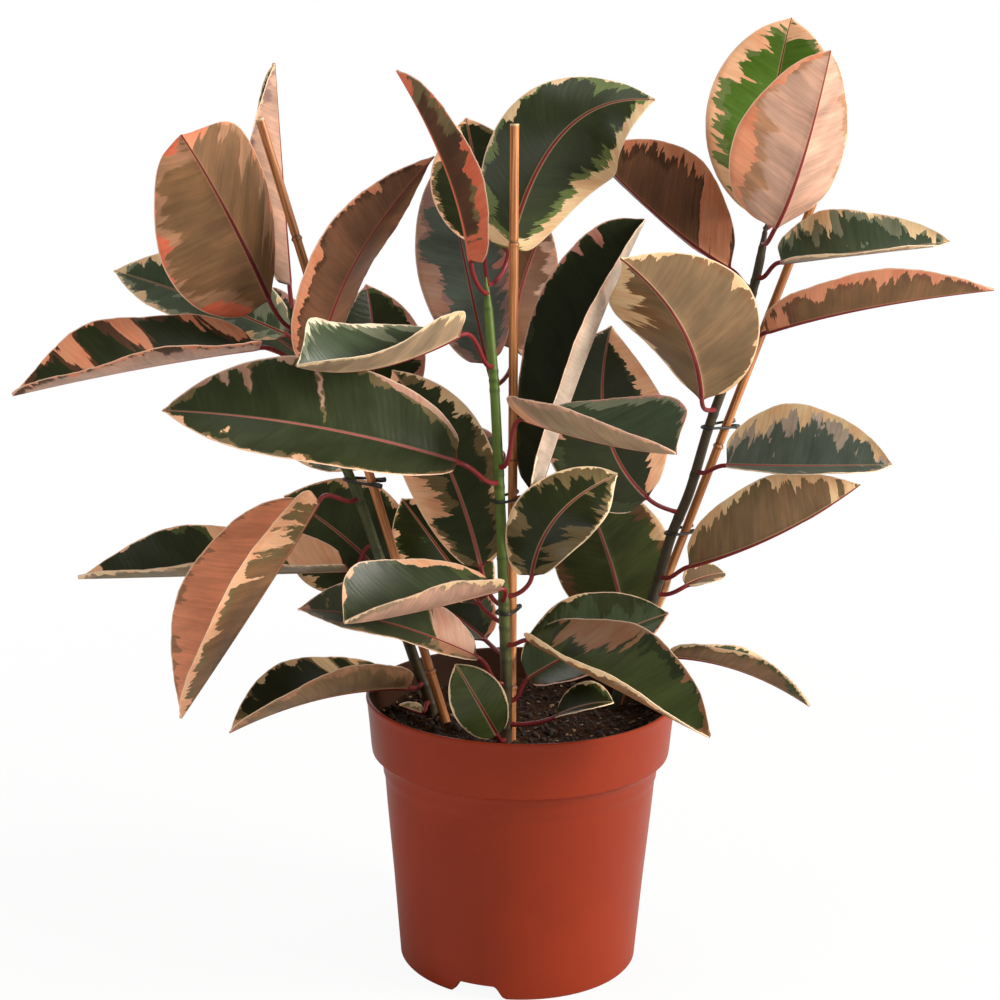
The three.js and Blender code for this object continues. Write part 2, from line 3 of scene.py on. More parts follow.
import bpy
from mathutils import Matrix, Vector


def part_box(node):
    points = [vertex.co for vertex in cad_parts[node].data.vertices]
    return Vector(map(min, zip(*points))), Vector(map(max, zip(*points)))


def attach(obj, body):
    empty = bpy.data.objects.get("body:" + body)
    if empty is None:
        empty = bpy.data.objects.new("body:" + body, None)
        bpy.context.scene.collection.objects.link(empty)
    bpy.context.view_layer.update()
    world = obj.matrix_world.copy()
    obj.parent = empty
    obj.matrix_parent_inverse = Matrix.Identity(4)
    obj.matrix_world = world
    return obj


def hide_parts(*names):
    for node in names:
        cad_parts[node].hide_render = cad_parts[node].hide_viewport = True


bl_info = {
    "name": "Potted rubber plant",
    "version": (1, 0, 0),
    "blender": (4, 5, 0),
    "location": "3D View > Sidebar > Rubber plant",
    "description": "Builds a variegated rubber plant in a plastic pot over its packed model",
    "category": "Add Mesh",
}

from typing import NamedTuple

import bpy
import numpy as np
from bpy.props import FloatProperty, FloatVectorProperty, IntProperty, PointerProperty
from mathutils import Matrix, Vector

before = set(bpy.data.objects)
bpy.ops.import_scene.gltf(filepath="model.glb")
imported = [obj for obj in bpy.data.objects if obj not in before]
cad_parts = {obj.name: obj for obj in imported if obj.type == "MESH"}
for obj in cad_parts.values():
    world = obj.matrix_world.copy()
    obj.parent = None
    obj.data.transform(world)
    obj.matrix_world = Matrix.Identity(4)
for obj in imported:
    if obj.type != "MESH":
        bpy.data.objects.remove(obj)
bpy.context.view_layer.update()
POT_LOW, POT_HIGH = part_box("pot")
MM = 0.001
TURN = 2 * np.pi
CURVE_STEPS = 40

# Every length below is in millimetres from the pot's own axis and the floor
AXIS = np.array([(POT_LOW.x + POT_HIGH.x) / 2, (POT_LOW.y + POT_HIGH.y) / 2, 0.0])

# The stems: where they end in the soil, their radii and tones from low to high, the ring at each leaf's
# node, how finely they are measured and drawn, and each one's line from its foot to its tip
STEM_BOTTOM = 105
STEM_RADIUS_LOW = 4.1
STEM_RADIUS_HIGH = 2.9
STEM_STATIONS = 400
STEM_RINGS = 260
STEM_SIDES = 24
STEM_TONES = {"left": ("bark", "moss"), "centre": ("bark", "lime"), "right": ("soot", "bark")}
STEM_TONE_RISE = (180, 330)
BUD_SHARE = 0.06
NODE_SWELL = 0.35
NODE_LENGTH = 1.2
STEMS = {
    "left": [
        (-57, 14, STEM_BOTTOM), (-60, 14, 165), (-73, 10, 206), (-95, 4, 275), (-109, 0, 319),
        (-120, -4, 348), (-136, -7, 396), (-150, -8, 436), (-155, -8, 452),
    ],
    "centre": [
        (-9, -53, STEM_BOTTOM), (-9.5, -52, 168), (-10, -50, 218), (-12, -48, 267), (-14, -45, 310),
        (-16, -42, 345), (-20, -36, 408), (-24, -30, 450), (-26, -27, 472),
    ],
    "right": [
        (48, 34, STEM_BOTTOM), (64, 33, 165), (91, 31, 250), (101, 31, 290), (112, 30, 320),
        (124, 30, 366), (137, 29, 408), (152, 27, 470), (157, 26, 505),
    ],
}

# The canes: their radius and how much of it they lose to their tops, how finely they are drawn, how far up
# the joints and the cut end are as shares of the length, how far a joint is drawn more finely, its ridge
# and groove as height, place over the joint and length, and each cane's lower and upper end
CANE_BOTTOM = 30
CANE_RADIUS = 3.2
CANE_TAPER = 0.1
CANE_RINGS = 300
CANE_SIDES = 20
CANE_JOINTS = (0.32, 0.6, 0.86)
CANE_CUT = (0.9975, 0.999)
JOINT_REACH = 4
JOINT_RELIEF = ((0.75, 0, 1.1), (-0.25, 2.2, 0.7))
CANES = {
    "left": [(-10, -2, CANE_BOTTOM), (-170, -15, 569)],
    "centre": [(-5, -43, CANE_BOTTOM), (-9, -22, 568)],
    "right": [(21.5, 42, CANE_BOTTOM), (205, 38, 565)],
}

# The ties: the wire's radius, how much its stubs are thicker and how long they are, how far its middle runs
# off stem and cane, and each one's stem and height
TIE_RADIUS = 0.95
TIE_STUB_SWELL = 0.75
TIE_OFF_STEM = 1.45
TIE_OFF_CANE = 1.4
TIE_STUB_LENGTH = 5
TIE_RINGS = 140
TIE_SIDES = 12
TIES = {
    "tie_left": ("left", 334),
    "tie_centre_upper": ("centre", 330),
    "tie_centre_lower": ("centre", 257),
    "tie_right_upper": ("right", 366),
    "tie_right_lower": ("right", 292),
}

# The pot: its outline as distances from the axis and heights, from the middle of its floor round its foot,
# wall, band and rim and down inside, how finely it is drawn, its foot's notches and its drain holes
POT_PROFILE = [
    (1, 10), (70, 10), (76, 10), (76.4, 5), (77, 0), (78.5, 0), (80.3, 0), (81.3, 1.2), (81.4, 2.5),
    (82.3, 14), (86, 60), (90.5, 109), (92.0, 128), (92.2, 131), (93.2, 133), (93.6, 137), (94.2, 142),
    (96.6, 146), (99.2, 147.4), (100.9, 148.6), (101.3, 151), (101.6, 154), (102.8, 168), (104.2, 181.5),
    (104.4, 183), (104.9, 184), (105, 185), (104.9, 186.3), (104.2, 187), (103, 187), (102.3, 186.6),
    (102.1, 185), (101.8, 180), (100.4, 163), (99.6, 153), (99.2, 150), (96, 147.5), (92.6, 143), (92, 139),
    (90.3, 131), (86, 80), (80.2, 16), (79.4, 13), (78, 12.5), (60, 12.5), (1, 12.5),
]
POT_SIDES = 200
POT_STEP = 9
BASE_RADIUS = 81.3
FOOT_MIDDLE = 79
FOOT_HALF_WIDTH = 4
NOTCH_TURN = -19
NOTCH_COUNT = 2
NOTCH_HALF_WIDTH = 19
NOTCH_HALF_TOP = 12
NOTCH_HEIGHT = 9
NOTCH_SIDES = 34
DRAIN_COUNT = 6
DRAIN_RADIUS = 5
DRAIN_CIRCLE = 48
DRAIN_SIDES = 24
DRAIN_SPAN = (8.0, 15.0)

# Where shade is painted on the inner wall over the soil: the wall's lean, and in metres its middle and the
# height over the soil
WALL_LEAN = 0.087
INNER_SHADE_REACH = (0.0874, 0.0871)
INNER_SHADE_HEIGHT = (0.151, 0.153)

# The soil: its outline under its top, how finely that is drawn, its lumps, and its crumbs
SOIL_LEVEL = 165
SOIL_WALL = [(1, 13), (78.5, 13), (84, 60), (89.7, 131), (91.6, 142), (98.7, 151), (99.4, 158)]
SOIL_RADIUS = 99.6
SOIL_ROWS = 80
SOIL_SIDES = 200
SOIL_RISE = 0.5
SOIL_EDGE = (80, 99)
SOIL_EDGE_FALL = 2.5
LUMP_COUNT = 48
LUMP_LENGTHS = (4.5, 45)
LUMP_HEIGHT = 0.0105
CRUMB_REACH = 97
CRUMB_SIZES = (0.5, 3.2)
CRUMB_STRETCH = (0.55, 1.3)
CRUMB_UNEVENNESS = 0.25
CRUMB_CORNERS = 12
CRUMB_SHADES = (0.6, 1.5)
PALE_CRUMBS = 0.05
PALE_CRUMB_SHADE = 3.2

# The leaves: how finely they are drawn, their thickness, stalk, rib, tip and edge, how far back a side vein
# runs for each millimetre across, how deep a spot lies in the margin's zone, the depth that stands for
# no margin at all, how the texture map is laid, and the number from which each stem's leaves are counted
ACROSS = 14
BLADE_STATIONS = 64
STALK_STATIONS = 12
BLADE_THICKNESS = 1.0
STALK_RADIUS = 1.5
STALK_SUNK = 0.6
STALK_BEND = 0.35
RIB_DEPTH = 1.25
RIB_HALF_WIDTH = 1.5
GROOVE_DEPTH = 0.3
GROOVE_HALF_WIDTH = 1.1
TIP_ROUNDING = 0.038
EDGE_BULGE = 0.25
MIN_HALF_WIDTH = 0.25
VEIN_SLOPE = 0.42
SPOT_DEPTH = 5
FAR_INSIDE = 30
UV_LENGTH = 250
UV_START = 0.2
LEAF_SEEDS = {"left": 0, "centre": 20, "right": 45}

# The camera, from the pot's axis: how far in front of it and how high, which way it looks, and its lens
CAMERA_BACK = 1340
CAMERA_HEIGHT = 630
CAMERA_PITCH = 13.0
CAMERA_YAW = -0.67
CAMERA_ROLL = 0.65
CAMERA_LENS = 74.5
SENSOR_WIDTH = 36

# How far the floor reaches in metres, and from where to where the camera sees it turn white
FLOOR_REACH = 12.0
FADE_REACH = (0.25, 1.3)

# Tones of leaf, stem, stalk and cane, as shown on a screen
TONES = {
    "forest": (50, 58, 34),
    "deep": (36, 42, 18),
    "moss": (70, 80, 42),
    "fern": (104, 118, 66),
    "bright": (76, 106, 34),
    "sage": (122, 126, 102),
    "slate": (88, 98, 88),
    "cream": (236, 204, 158),
    "ivory": (238, 224, 196),
    "peach": (238, 184, 144),
    "salmon": (222, 148, 112),
    "coral": (222, 116, 86),
    "rose": (200, 140, 126),
    "mauve": (150, 118, 110),
    "umber": (82, 54, 36),
    "chestnut": (112, 76, 54),
    "fawn": (162, 120, 90),
    "olive": (112, 96, 64),
    "taupe": (150, 128, 102),
    "hazel": (122, 90, 60),
    "drab": (122, 98, 70),
    "pine": (64, 76, 54),
    "dusk": (184, 146, 126),
    "ash": (176, 158, 142),
    "crimson": (126, 42, 44),
    "wine": (88, 24, 28),
    "blush": (168, 86, 86),
    "lime": (86, 110, 30),
    "bark": (66, 54, 32),
    "soot": (42, 40, 20),
    "straw": (214, 144, 86),
    "husk": (148, 84, 44),
    "pith": (236, 202, 160),
}

# By how much a side vein, the under face's paler bloom with its painted sheen and the flush of the margin
# change the tone under them, and the light of the blade's edge, of a cane's joints, of the shade painted on
# the pot's inner wall and of the soil's fibres
VEIN_TINT = (1.35, 1.3, 1.2, 1.0)
BLOOM_AND_SHEEN_TINT = (1.45, 1.32, 1.3, 1.0)
FLUSH_TINT = (0.93, 0.72, 0.66, 1.0)
EDGE_LIGHT = (0.85, 0.66, 0.5, 1.0)
JOINT_LIGHT = (0.05, 0.02, 0.01, 1.0)
# The dark brown of the shade painted on the pot's inner wall
INNER_SHADE_TONE = (0.03, 0.016, 0.009, 1.0)
FIBRE_LIGHT = (0.24, 0.17, 0.1, 1.0)


class Leaf(NamedTuple):
    """Where a leaf is and how it is bent.

    node is the height of its foot on the stem. base, middle and tip are points of its midrib, and width is
    the blade's full width. face is the way its upper face looks, and turned the way it looks at the tip
    where that differs. Each half folds up by fold and then curls on by curl, in degrees. wave is how far its
    margins go up and down, slant how far one half is set toward the tip and the other toward the base, and
    blunt how blunt its tip is: 1 bluntest, below 0 drawn to a point."""

    node: float
    base: tuple
    middle: tuple
    tip: tuple
    width: float
    face: tuple
    fold: float
    curl: float = 0
    wave: float = 1
    slant: float = 0
    blunt: float = 0
    turned: tuple = None


LEAVES = {
    "leaf_left_01": Leaf(436, (-163, -34, 456), (-187, -58, 516), (-212, -64, 561), 101,
        (-0.56, 0.82, -0.1), fold=24, slant=-0.45, blunt=1),
    "leaf_left_02": Leaf(446, (-155, 8, 460), (-160, 14, 529), (-163, 8, 603), 64, (-0.95, -0.1, 0.1),
        fold=32, curl=10),
    "leaf_left_03": Leaf(385, (-133, -28, 412), (-109, -46, 481), (-58, -50, 549), 66, (-0.75, 0.55, 0.3),
        fold=15),
    "leaf_left_04": Leaf(416, (-170, -28, 425), (-244, -52, 415), (-322, -62, 398), 82, (0, -0.23, 0.97),
        fold=22, curl=24, wave=2, slant=0.25),
    "leaf_left_05": Leaf(410, (-157, 12, 427), (-217, 28, 448), (-276, 38, 465), 66, (-0.1, -0.55, 0.8),
        fold=20),
    "leaf_left_06": Leaf(394, (-146, 18, 410), (-184, 46, 430), (-222, 80, 442), 66, (0, -0.3, 0.9),
        fold=20),
    "leaf_left_07": Leaf(350, (-110, 22, 366), (-102, 28, 410), (-107, 34, 459), 70, (0.3, -0.85, 0.4),
        fold=12),
    "leaf_left_08": Leaf(321, (-133, -28, 325), (-170, -52, 265), (-223, -50, 182), 98, (-0.8, -0.45, 0.4),
        fold=48, curl=8, slant=0.2),
    "leaf_left_09": Leaf(288, (-116, 8, 269), (-208, 10, 264), (-303, 20, 257), 70, (0, -0.28, 0.95),
        fold=36, curl=15, wave=2, slant=0.25),
    "leaf_left_10": Leaf(256, (-94, 26, 256), (-122, 44, 281), (-166, 58, 308), 86, (0, -0.85, 0.5),
        fold=10, wave=2),
    "leaf_left_11": Leaf(190, (-75, -10, 192), (-131, -42, 195), (-190, -60, 176), 66, (0, 0.3, 0.95),
        fold=35, curl=18, slant=0.2, turned=(0, -0.2, 0.98)),
    "leaf_left_12": Leaf(176, (-68, -2, 172), (-75, -9, 177), (-82, -16, 182), 14, (-0.6, -0.4, 0.6),
        fold=20, wave=0),
    "leaf_centre_01": Leaf(462, (-35, -52, 484), (-49, -72, 542), (-80, -70, 601), 56, (0.95, 0.1, 0.2),
        fold=34, curl=8),
    "leaf_centre_02": Leaf(410, (-25, 9, 410), (-41, 34, 474), (-56, 48, 543), 64, (-0.2, -0.95, 0.2),
        fold=12),
    "leaf_centre_03": Leaf(467, (-12, -6, 484), (22, -4, 562), (79, -14, 583), 86, (0.12, -0.95, 0.25),
        fold=-23, turned=(0.2, -0.6, 0.75)),
    "leaf_centre_04": Leaf(455, (-28, 5, 489), (-33, 20, 528), (-41, 30, 569), 62, (0, -0.9, 0.3), fold=12),
    "leaf_centre_05": Leaf(404, (-8, 14, 419), (-4, 46, 455), (13, 54, 501), 62, (-0.3, 0.9, 0.2), fold=14),
    "leaf_centre_06": Leaf(416, (-41, -70, 441), (-91, -112, 427), (-134, -146, 433), 70, (0, 0.2, 0.97),
        fold=46, curl=14, slant=1.1, blunt=1, turned=(0, -0.55, 0.83)),
    "leaf_centre_07": Leaf(352, (0, -62, 387), (49, -98, 380), (91, -128, 380), 82, (0, -0.08, 1), fold=32,
        curl=20, slant=-0.85, blunt=0.4),
    "leaf_centre_08": Leaf(342, (-41, -72, 361), (-130, -100, 388), (-220, -108, 398), 86, (0, -0.71, 0.71),
        fold=20, curl=12, slant=-0.15),
    "leaf_centre_09": Leaf(350, (-18, -2, 354), (-98, 56, 342), (-168, 74, 334), 64, (0, -0.5, 0.85),
        fold=12),
    "leaf_centre_10": Leaf(296, (8, -30, 328), (42, -7, 427), (76, 4, 507), 84, (-0.75, -0.5, 0.1), fold=45,
        curl=10, slant=-0.6, blunt=0.6),
    "leaf_centre_11": Leaf(268, (6, -50, 282), (22, -54, 323), (60, -42, 348), 52, (-0.2, -0.9, 0.3),
        fold=12, wave=2, slant=0.3),
    "leaf_centre_12": Leaf(262, (-27, -33, 282), (-52, -8, 349), (-88, 12, 405), 62, (0.1, -0.9, 0.4),
        fold=10, wave=2),
    "leaf_centre_13": Leaf(266, (-14, -68, 278), (-73, -98, 270), (-109, -126, 271), 76, (0, -0.2, 0.97),
        fold=34, curl=28, slant=0.5),
    "leaf_centre_14": Leaf(250, (-28, -26, 256), (-56, 20, 280), (-84, 46, 310), 60, (0.2, -0.85, 0.5),
        fold=12),
    "leaf_centre_15": Leaf(228, (-24, -22, 230), (-52, 20, 238), (-84, 48, 244), 56, (0, -0.6, 0.8),
        fold=15),
    "leaf_centre_16": Leaf(210, (-28, -64, 231), (-86, -77, 257), (-142, -80, 266), 66, (0, -0.32, 0.95),
        fold=15, curl=8),
    "leaf_centre_17": Leaf(172, (-15, -68, 180), (-28, -76, 206), (-42, -78, 231), 36, (0, -0.85, 0.5),
        fold=8, wave=0),
    "leaf_centre_18": Leaf(236, (6, -66, 243), (57, -100, 226), (117, -126, 201), 80, (0.1, -0.42, 0.9),
        fold=34, curl=32, wave=2, slant=-0.25),
    "leaf_centre_19": Leaf(198, (4, -50, 212), (46, -44, 235), (96, -36, 254), 74, (-0.1, -0.45, 0.88),
        fold=20),
    "leaf_centre_20": Leaf(182, (24, -58, 190), (42, -66, 200), (60, -70, 204), 34, (0, -0.4, 0.9), fold=30,
        wave=0),
    "leaf_right_01": Leaf(500, (162, 44, 505), (162, 60, 570), (171, 55, 635), 93, (0.1, -0.97, 0.15),
        fold=8, blunt=0.4),
    "leaf_right_02": Leaf(490, (160, 5, 502), (174, -8, 547), (189, -5, 615), 92, (-0.45, 0.88, -0.17),
        fold=22, curl=5, blunt=0.5),
    "leaf_right_03": Leaf(468, (165, 15, 479), (214, -5, 488), (270, -10, 496), 68, (0, -0.42, 0.91),
        fold=22, curl=18, slant=0.6),
    "leaf_right_04": Leaf(424, (158, 14, 433), (221, -5, 453), (300, -10, 466), 54, (0, 0.35, 0.93),
        fold=40, curl=8, slant=-0.25),
    "leaf_right_05": Leaf(378, (116, 0, 390), (98, -32, 444), (58, -52, 488), 99, (0.25, 0.93, 0.22),
        fold=27, slant=0.2, blunt=-2),
    "leaf_right_06": Leaf(460, (136, 42, 471), (91, 52, 502), (40, 56, 550), 92, (0.38, 0.77, 0.51),
        fold=44, curl=5, slant=-0.35),
    "leaf_right_07": Leaf(336, (134, 10, 344), (186, -8, 348), (240, -15, 351), 82, (0, -0.6, 0.8), fold=32,
        curl=18, slant=0.25),
    "leaf_right_08": Leaf(262, (112, 10, 274), (168, -12, 303), (220, -15, 338), 76, (-0.1, 0.8, 0.58),
        fold=38, curl=5),
    "leaf_right_09": Leaf(250, (112, 27, 256), (126, 35, 260), (140, 42, 261), 28, (0, -0.3, 0.95), fold=20,
        wave=0),
    "leaf_right_10": Leaf(306, (84, 22, 318), (54, 14, 369), (56, 8, 437), 86, (0, -0.95, 0.3), fold=10),
    "leaf_right_11": Leaf(206, (73, 52, 216), (60, 58, 268), (37, 56, 322), 86, (0.1, 0.9, 0.3), fold=12),
    "leaf_right_12": Leaf(200, (101, 26, 206), (149, 10, 202), (196, 0, 180), 42, (0, 0.25, 0.97), fold=33,
        curl=10),
}


class Look(NamedTuple):
    """How one face of a leaf is marked. Left and right are the halves seen on the upper face with its tip up.

    core is the inner tone, patch the paler one around and in it, and patchy how much of that there is. rim
    is the margin's tone, wide its width and jag how deep its tongues reach. rim and wide may name the left
    and the right half in turn. splash lists spots that the margin's tone covers besides, along the side
    veins: how far along the blade, how far across from -1 to 1, and how long and how broad as shares."""

    core: str = "forest"
    patch: str = "moss"
    rim: tuple = "cream"
    rib: str = "crimson"
    wide: tuple = 2
    jag: float = 3
    patchy: float = 0.4
    splash: tuple = ()


PLAIN_UPPER = Look()
PLAIN_UNDER = Look(core="olive", patch="taupe", wide=3)

# What differs from those on each leaf's upper face, and then on its under face
LOOKS = {
    "leaf_left_01": [{},
        dict(core="hazel", patch="fawn", rim=("salmon", "coral"), rib="wine", wide=1, jag=2.5, patchy=1,
             splash=[(0.97, 0.8, 0.07, 0.6), (0.55, 1.05, 0.05, 0.25), (0.04, 0.9, 0.1, 0.35),
             (0.96, -0.6, 0.05, 0.6), (0.86, -0.9, 0.02, 0.5)])],
    "leaf_left_02": [dict(core="deep"), dict(core="dusk", patch="mauve", rim="peach", wide=1, patchy=0.5)],
    "leaf_left_03": [{},
        dict(core="chestnut", patch="umber", rim=("chestnut", "salmon"), wide=(0.5, 2),
             splash=[(0.25, 1, 0.2, 0.25)])],
    "leaf_left_04": [dict(core="deep", patch="umber", rim="salmon", wide=(3, 0.8), patchy=0.5,
             splash=[(0.66, 0.7, 0.05, 0.7), (0.38, 0.9, 0.05, 0.5), (0.04, 0.9, 0.07, 0.5)]),
        dict(core="dusk", patch="umber", rim="salmon", jag=5)],
    "leaf_left_05": [dict(core="pine", patch="sage", wide=3, jag=6, patchy=0.8)],
    "leaf_left_06": [dict(rim="rose")],
    "leaf_left_07": [dict(core="deep", rim="rose", wide=(2, 3))],
    "leaf_left_08": [dict(core="salmon", patch="fawn", rim=("fawn", "peach"), wide=(0.4, 0.8), jag=0.6,
             patchy=0.5),
        dict(core="hazel", patch="olive", rim=("peach", "cream"), wide=(8, 4), jag=6, patchy=0.6,
             splash=[(0.15, -0.7, 0.1, 0.6)])],
    "leaf_left_09": [dict(core="deep", rim=("dusk", "peach"), wide=(12, 0.6), jag=1, patchy=0.2,
             splash=[(0.37, 0.9, 0.06, 0.5), (0.1, 0.6, 0.12, 0.9), (0.93, 0.6, 0.04, 0.5)])],
    "leaf_left_10": [dict(rim=("cream", "peach"), wide=(1.5, 3.5), patchy=0.5)],
    "leaf_left_11": [dict(core="deep", patch="olive", wide=1, splash=[(0.97, 0, 0.1, 1),
             (0.3, 0.9, 0.05, 0.5)]),
        dict(core="drab", patch="fawn", rim=("fawn", "cream"), wide=(1.5, 2), patchy=0.6)],
    "leaf_centre_01": [dict(core="moss", patch="slate", rim="peach", wide=(3, 5), jag=4, patchy=0.7),
        dict(core="umber", patch="olive", rim="coral", rib="coral", wide=(1.5, 2), patchy=0.6,
             splash=[(0.96, 0, 0.12, 1), (0.04, -0.4, 0.1, 1), (0.2, -1, 0.24, 0.4)])],
    "leaf_centre_02": [dict(core="slate", patch="mauve", rim=("dusk", "rose"), wide=3, jag=5, patchy=0.6,
             splash=[(0.35, -0.9, 0.12, 0.3)])],
    "leaf_centre_03": [dict(patch="fern", wide=(1, 8), jag=4, patchy=0.8, splash=[(0.03, -0.5, 0.04, 1)])],
    "leaf_centre_04": [dict(core="deep", patch="olive", rim="peach", wide=3, jag=5)],
    "leaf_centre_05": [{}, dict(core="chestnut", patch="dusk", rim=("peach", "rose"), wide=2, patchy=0.6)],
    "leaf_centre_06": [dict(core="pine", patch="sage", rim="ivory", wide=1.5, patchy=0.7),
        dict(core="taupe", patch="cream", wide=1, jag=1, patchy=0.3)],
    "leaf_centre_07": [dict(core="pine", patch="sage", rim="rose", wide=1.5, jag=2,
             splash=[(0.95, 0.7, 0.05, 0.6)]),
        dict(core="taupe", patch="dusk", rim="peach", wide=1, splash=[(0, 0, 0.16, 1.2)])],
    "leaf_centre_08": [dict(patch="olive", rim=("peach", "dusk"), rib="blush", wide=(0.7, 0.9), jag=1.2,
             patchy=0.3, splash=[(0.47, 0.55, 0.01, 0.42), (0.7, 0.72, 0.012, 0.25),
             (0.77, 0.85, 0.012, 0.25), (0.84, 0.95, 0.03, 0.15), (0.12, 1, 0.16, 0.13),
             (0.55, 0.97, 0.012, 0.12), (0.74, -0.5, 0.012, 0.16), (0.45, -0.85, 0.04, 0.06),
             (0.92, -0.9, 0.02, 0.5)])],
    "leaf_centre_09": [dict(core="deep", rim=("peach", "rose"), wide=1.5)],
    "leaf_centre_10": [dict(core="deep", patch="forest", rim="rose", wide=(0.7, 1), jag=1, patchy=0.2,
             splash=[(0.8, -0.85, 0.02, 0.3), (0.7, -0.95, 0.015, 0.25)]),
        dict(core="ash", patch="dusk", rim="ivory", wide=0.8, jag=1)],
    "leaf_centre_11": [dict(core="deep", patch="olive", wide=0.8, jag=2, patchy=0.9)],
    "leaf_centre_12": [dict(patch="olive", rim=("peach", "cream"), rib="blush", jag=5, patchy=0.5,
             splash=[(0.35, -0.9, 0.1, 0.45)])],
    "leaf_centre_13": [dict(rim=("rose", "peach"), wide=1, jag=2, splash=[(0.82, 1, 0.06, 0.3),
             (0.2, 1, 0.12, 0.15)]),
        dict(core="dusk", wide=1)],
    "leaf_centre_14": [dict(core="deep", rim="peach")],
    "leaf_centre_15": [dict(core="deep", rim="salmon", wide=3)],
    "leaf_centre_16": [dict(patch="olive", rim=("fawn", "dusk"), wide=(1, 0.8), jag=2,
             splash=[(0.1, 0.3, 0.14, 1), (1, 0, 0.06, 1)])],
    "leaf_centre_17": [dict(core="moss", patch="forest", wide=0.6, jag=0.6, patchy=0.1)],
    "leaf_centre_18": [dict(core="moss", patch="forest", rim=("fawn", "cream"), wide=(2.5, 0.8),
             splash=[(0.2, -0.9, 0.16, 0.6), (0.99, 0, 0.05, 1)]),
        dict(core="hazel", wide=5)],
    "leaf_centre_19": [dict(core="pine", patch="forest", rim=("cream", "rose"), wide=(0.6, 2), jag=1.5,
             patchy=0.9)],
    "leaf_centre_20": [dict(core="deep", wide=0.8, jag=1)],
    "leaf_right_01": [dict(core="bright", patch="fern", rim="peach", rib="wine", wide=(10, 8), jag=10,
             splash=[(0.97, 0, 0.06, 1.2)])],
    "leaf_right_02": [{},
        dict(core="dusk", patch="fawn", rim=("peach", "salmon"), wide=(1, 3), jag=2, patchy=0.45,
             splash=[(0.25, 1, 0.25, 0.35)])],
    "leaf_right_03": [dict(core="pine", patch="sage", rim=("cream", "ivory"), rib="blush", wide=(4, 3),
             jag=7, patchy=0.8),
        dict(core="taupe")],
    "leaf_right_04": [{},
        dict(core="hazel", patch="chestnut", rim="salmon", wide=(3, 5), jag=5, patchy=0.5,
             splash=[(0.02, 0, 0.1, 1)])],
    "leaf_right_05": [{},
        dict(core="drab", patch="hazel", wide=(1, 5), jag=4, patchy=0.35, splash=[(0.6, 1, 0.34, 0.55)])],
    "leaf_right_06": [{},
        dict(core="chestnut", patch="umber", rim="salmon", wide=9, jag=9,
             splash=[(0.08, -0.6, 0.14, 0.7)])],
    "leaf_right_07": [dict(core="slate", patch="ash", rib="blush", wide=(6, 2), jag=6, patchy=0.9),
        dict(core="taupe")],
    "leaf_right_08": [{}, dict(core="drab", patch="olive", wide=4, jag=6, splash=[(1, 0, 0.13, 1.5)])],
    "leaf_right_09": [dict(core="drab", patch="olive", wide=1)],
    "leaf_right_10": [dict(core="deep", patch="forest", rim=("dusk", "peach"), wide=(2, 14), jag=5)],
    "leaf_right_11": [{}, dict(core="moss", patch="hazel", rib="blush", wide=(4, 1), jag=4, patchy=0.8)],
    "leaf_right_12": [{}, dict(core="drab", patch="moss", wide=(1.5, 2), jag=2)],
}


def linear(tone):
    """A screen tone of 0 to 255 as the light it stands for, with an alpha of one."""
    share = np.asarray(tone, float) / 255
    light = np.where(share <= 0.04045, share / 12.92, ((share + 0.055) / 1.055) ** 2.4)
    return np.append(light, 1.0)


def chosen(tone):
    """A tone from the settings, where it runs from 0 to 1, as light."""
    return linear(255 * np.array(tone, float))


def shaded(tone, share):
    """A tone made lighter or darker."""
    return np.append(tone[:3] * share, 1.0)


def unit(vectors):
    """Vectors at length one."""
    return vectors / np.linalg.norm(vectors, axis=-1, keepdims=True)


def blend(first, second, share):
    """The value that lies a share of the way from the first to the second."""
    return first + (second - first) * share


def bell(values):
    """One at 0, falling off on both sides like a bell."""
    return np.exp(-(values**2))


def smooth_step(low, high, values):
    """From 0 at low to 1 at high, level at both."""
    share = np.clip((values - low) / (high - low), 0, 1)
    return share * share * (3 - 2 * share)


def ripple(values, seed):
    """A gentle uneven wave between about -1 and 1: three sines whose lengths don't divide one another."""
    turns = np.array([1.0, 2.3, 4.1])
    heights = np.array([0.5, 0.3, 0.2])
    starts = np.array([1.7, 4.3, 2.9]) * seed
    return np.sum(heights * np.sin(values[..., None] * turns + starts), axis=-1)


def angles(count):
    """The angles of that many points round a full turn."""
    return np.linspace(0, TURN, count, endpoint=False)


def travelled(line):
    """How far along a line of points each of them lies."""
    return np.append(0, np.cumsum(np.linalg.norm(np.diff(line, axis=0), axis=1)))


def smooth_line(points, count):
    """Points at even distances on a smooth line through the given ones, and its directions there.

    Between each two points runs a cubic. Its end slopes come from the neighbours on both sides, weighted
    by the square roots of the distances between them."""
    p = np.asarray(points, float)
    p = np.vstack([2 * p[0] - p[1], p, 2 * p[-1] - p[-2]])
    gap = np.sqrt(np.linalg.norm(np.diff(p, axis=0), axis=1))
    g0, g1, g2 = gap[:-2, None], gap[1:-1, None], gap[2:, None]
    a, b, c, d = p[:-3], p[1:-2], p[2:-1], p[3:]
    start = ((b - a) / g0 - (c - a) / (g0 + g1) + (c - b) / g1) * g1
    end = ((c - b) / g1 - (d - b) / (g1 + g2) + (d - c) / g2) * g1
    t = np.linspace(0, 1, CURVE_STEPS, endpoint=False)[None, :, None]
    b, c, start, end = b[:, None], c[:, None], start[:, None], end[:, None]
    line = b + start * t + (3 * (c - b) - 2 * start - end) * t**2 + (2 * (b - c) + start + end) * t**3
    line = np.vstack([line.reshape(-1, 3), p[-2]])
    way = travelled(line)
    even = np.linspace(0, way[-1], count)
    found = np.stack([np.interp(even, way, column) for column in line.T], axis=-1)
    return found, unit(np.gradient(found, axis=0))


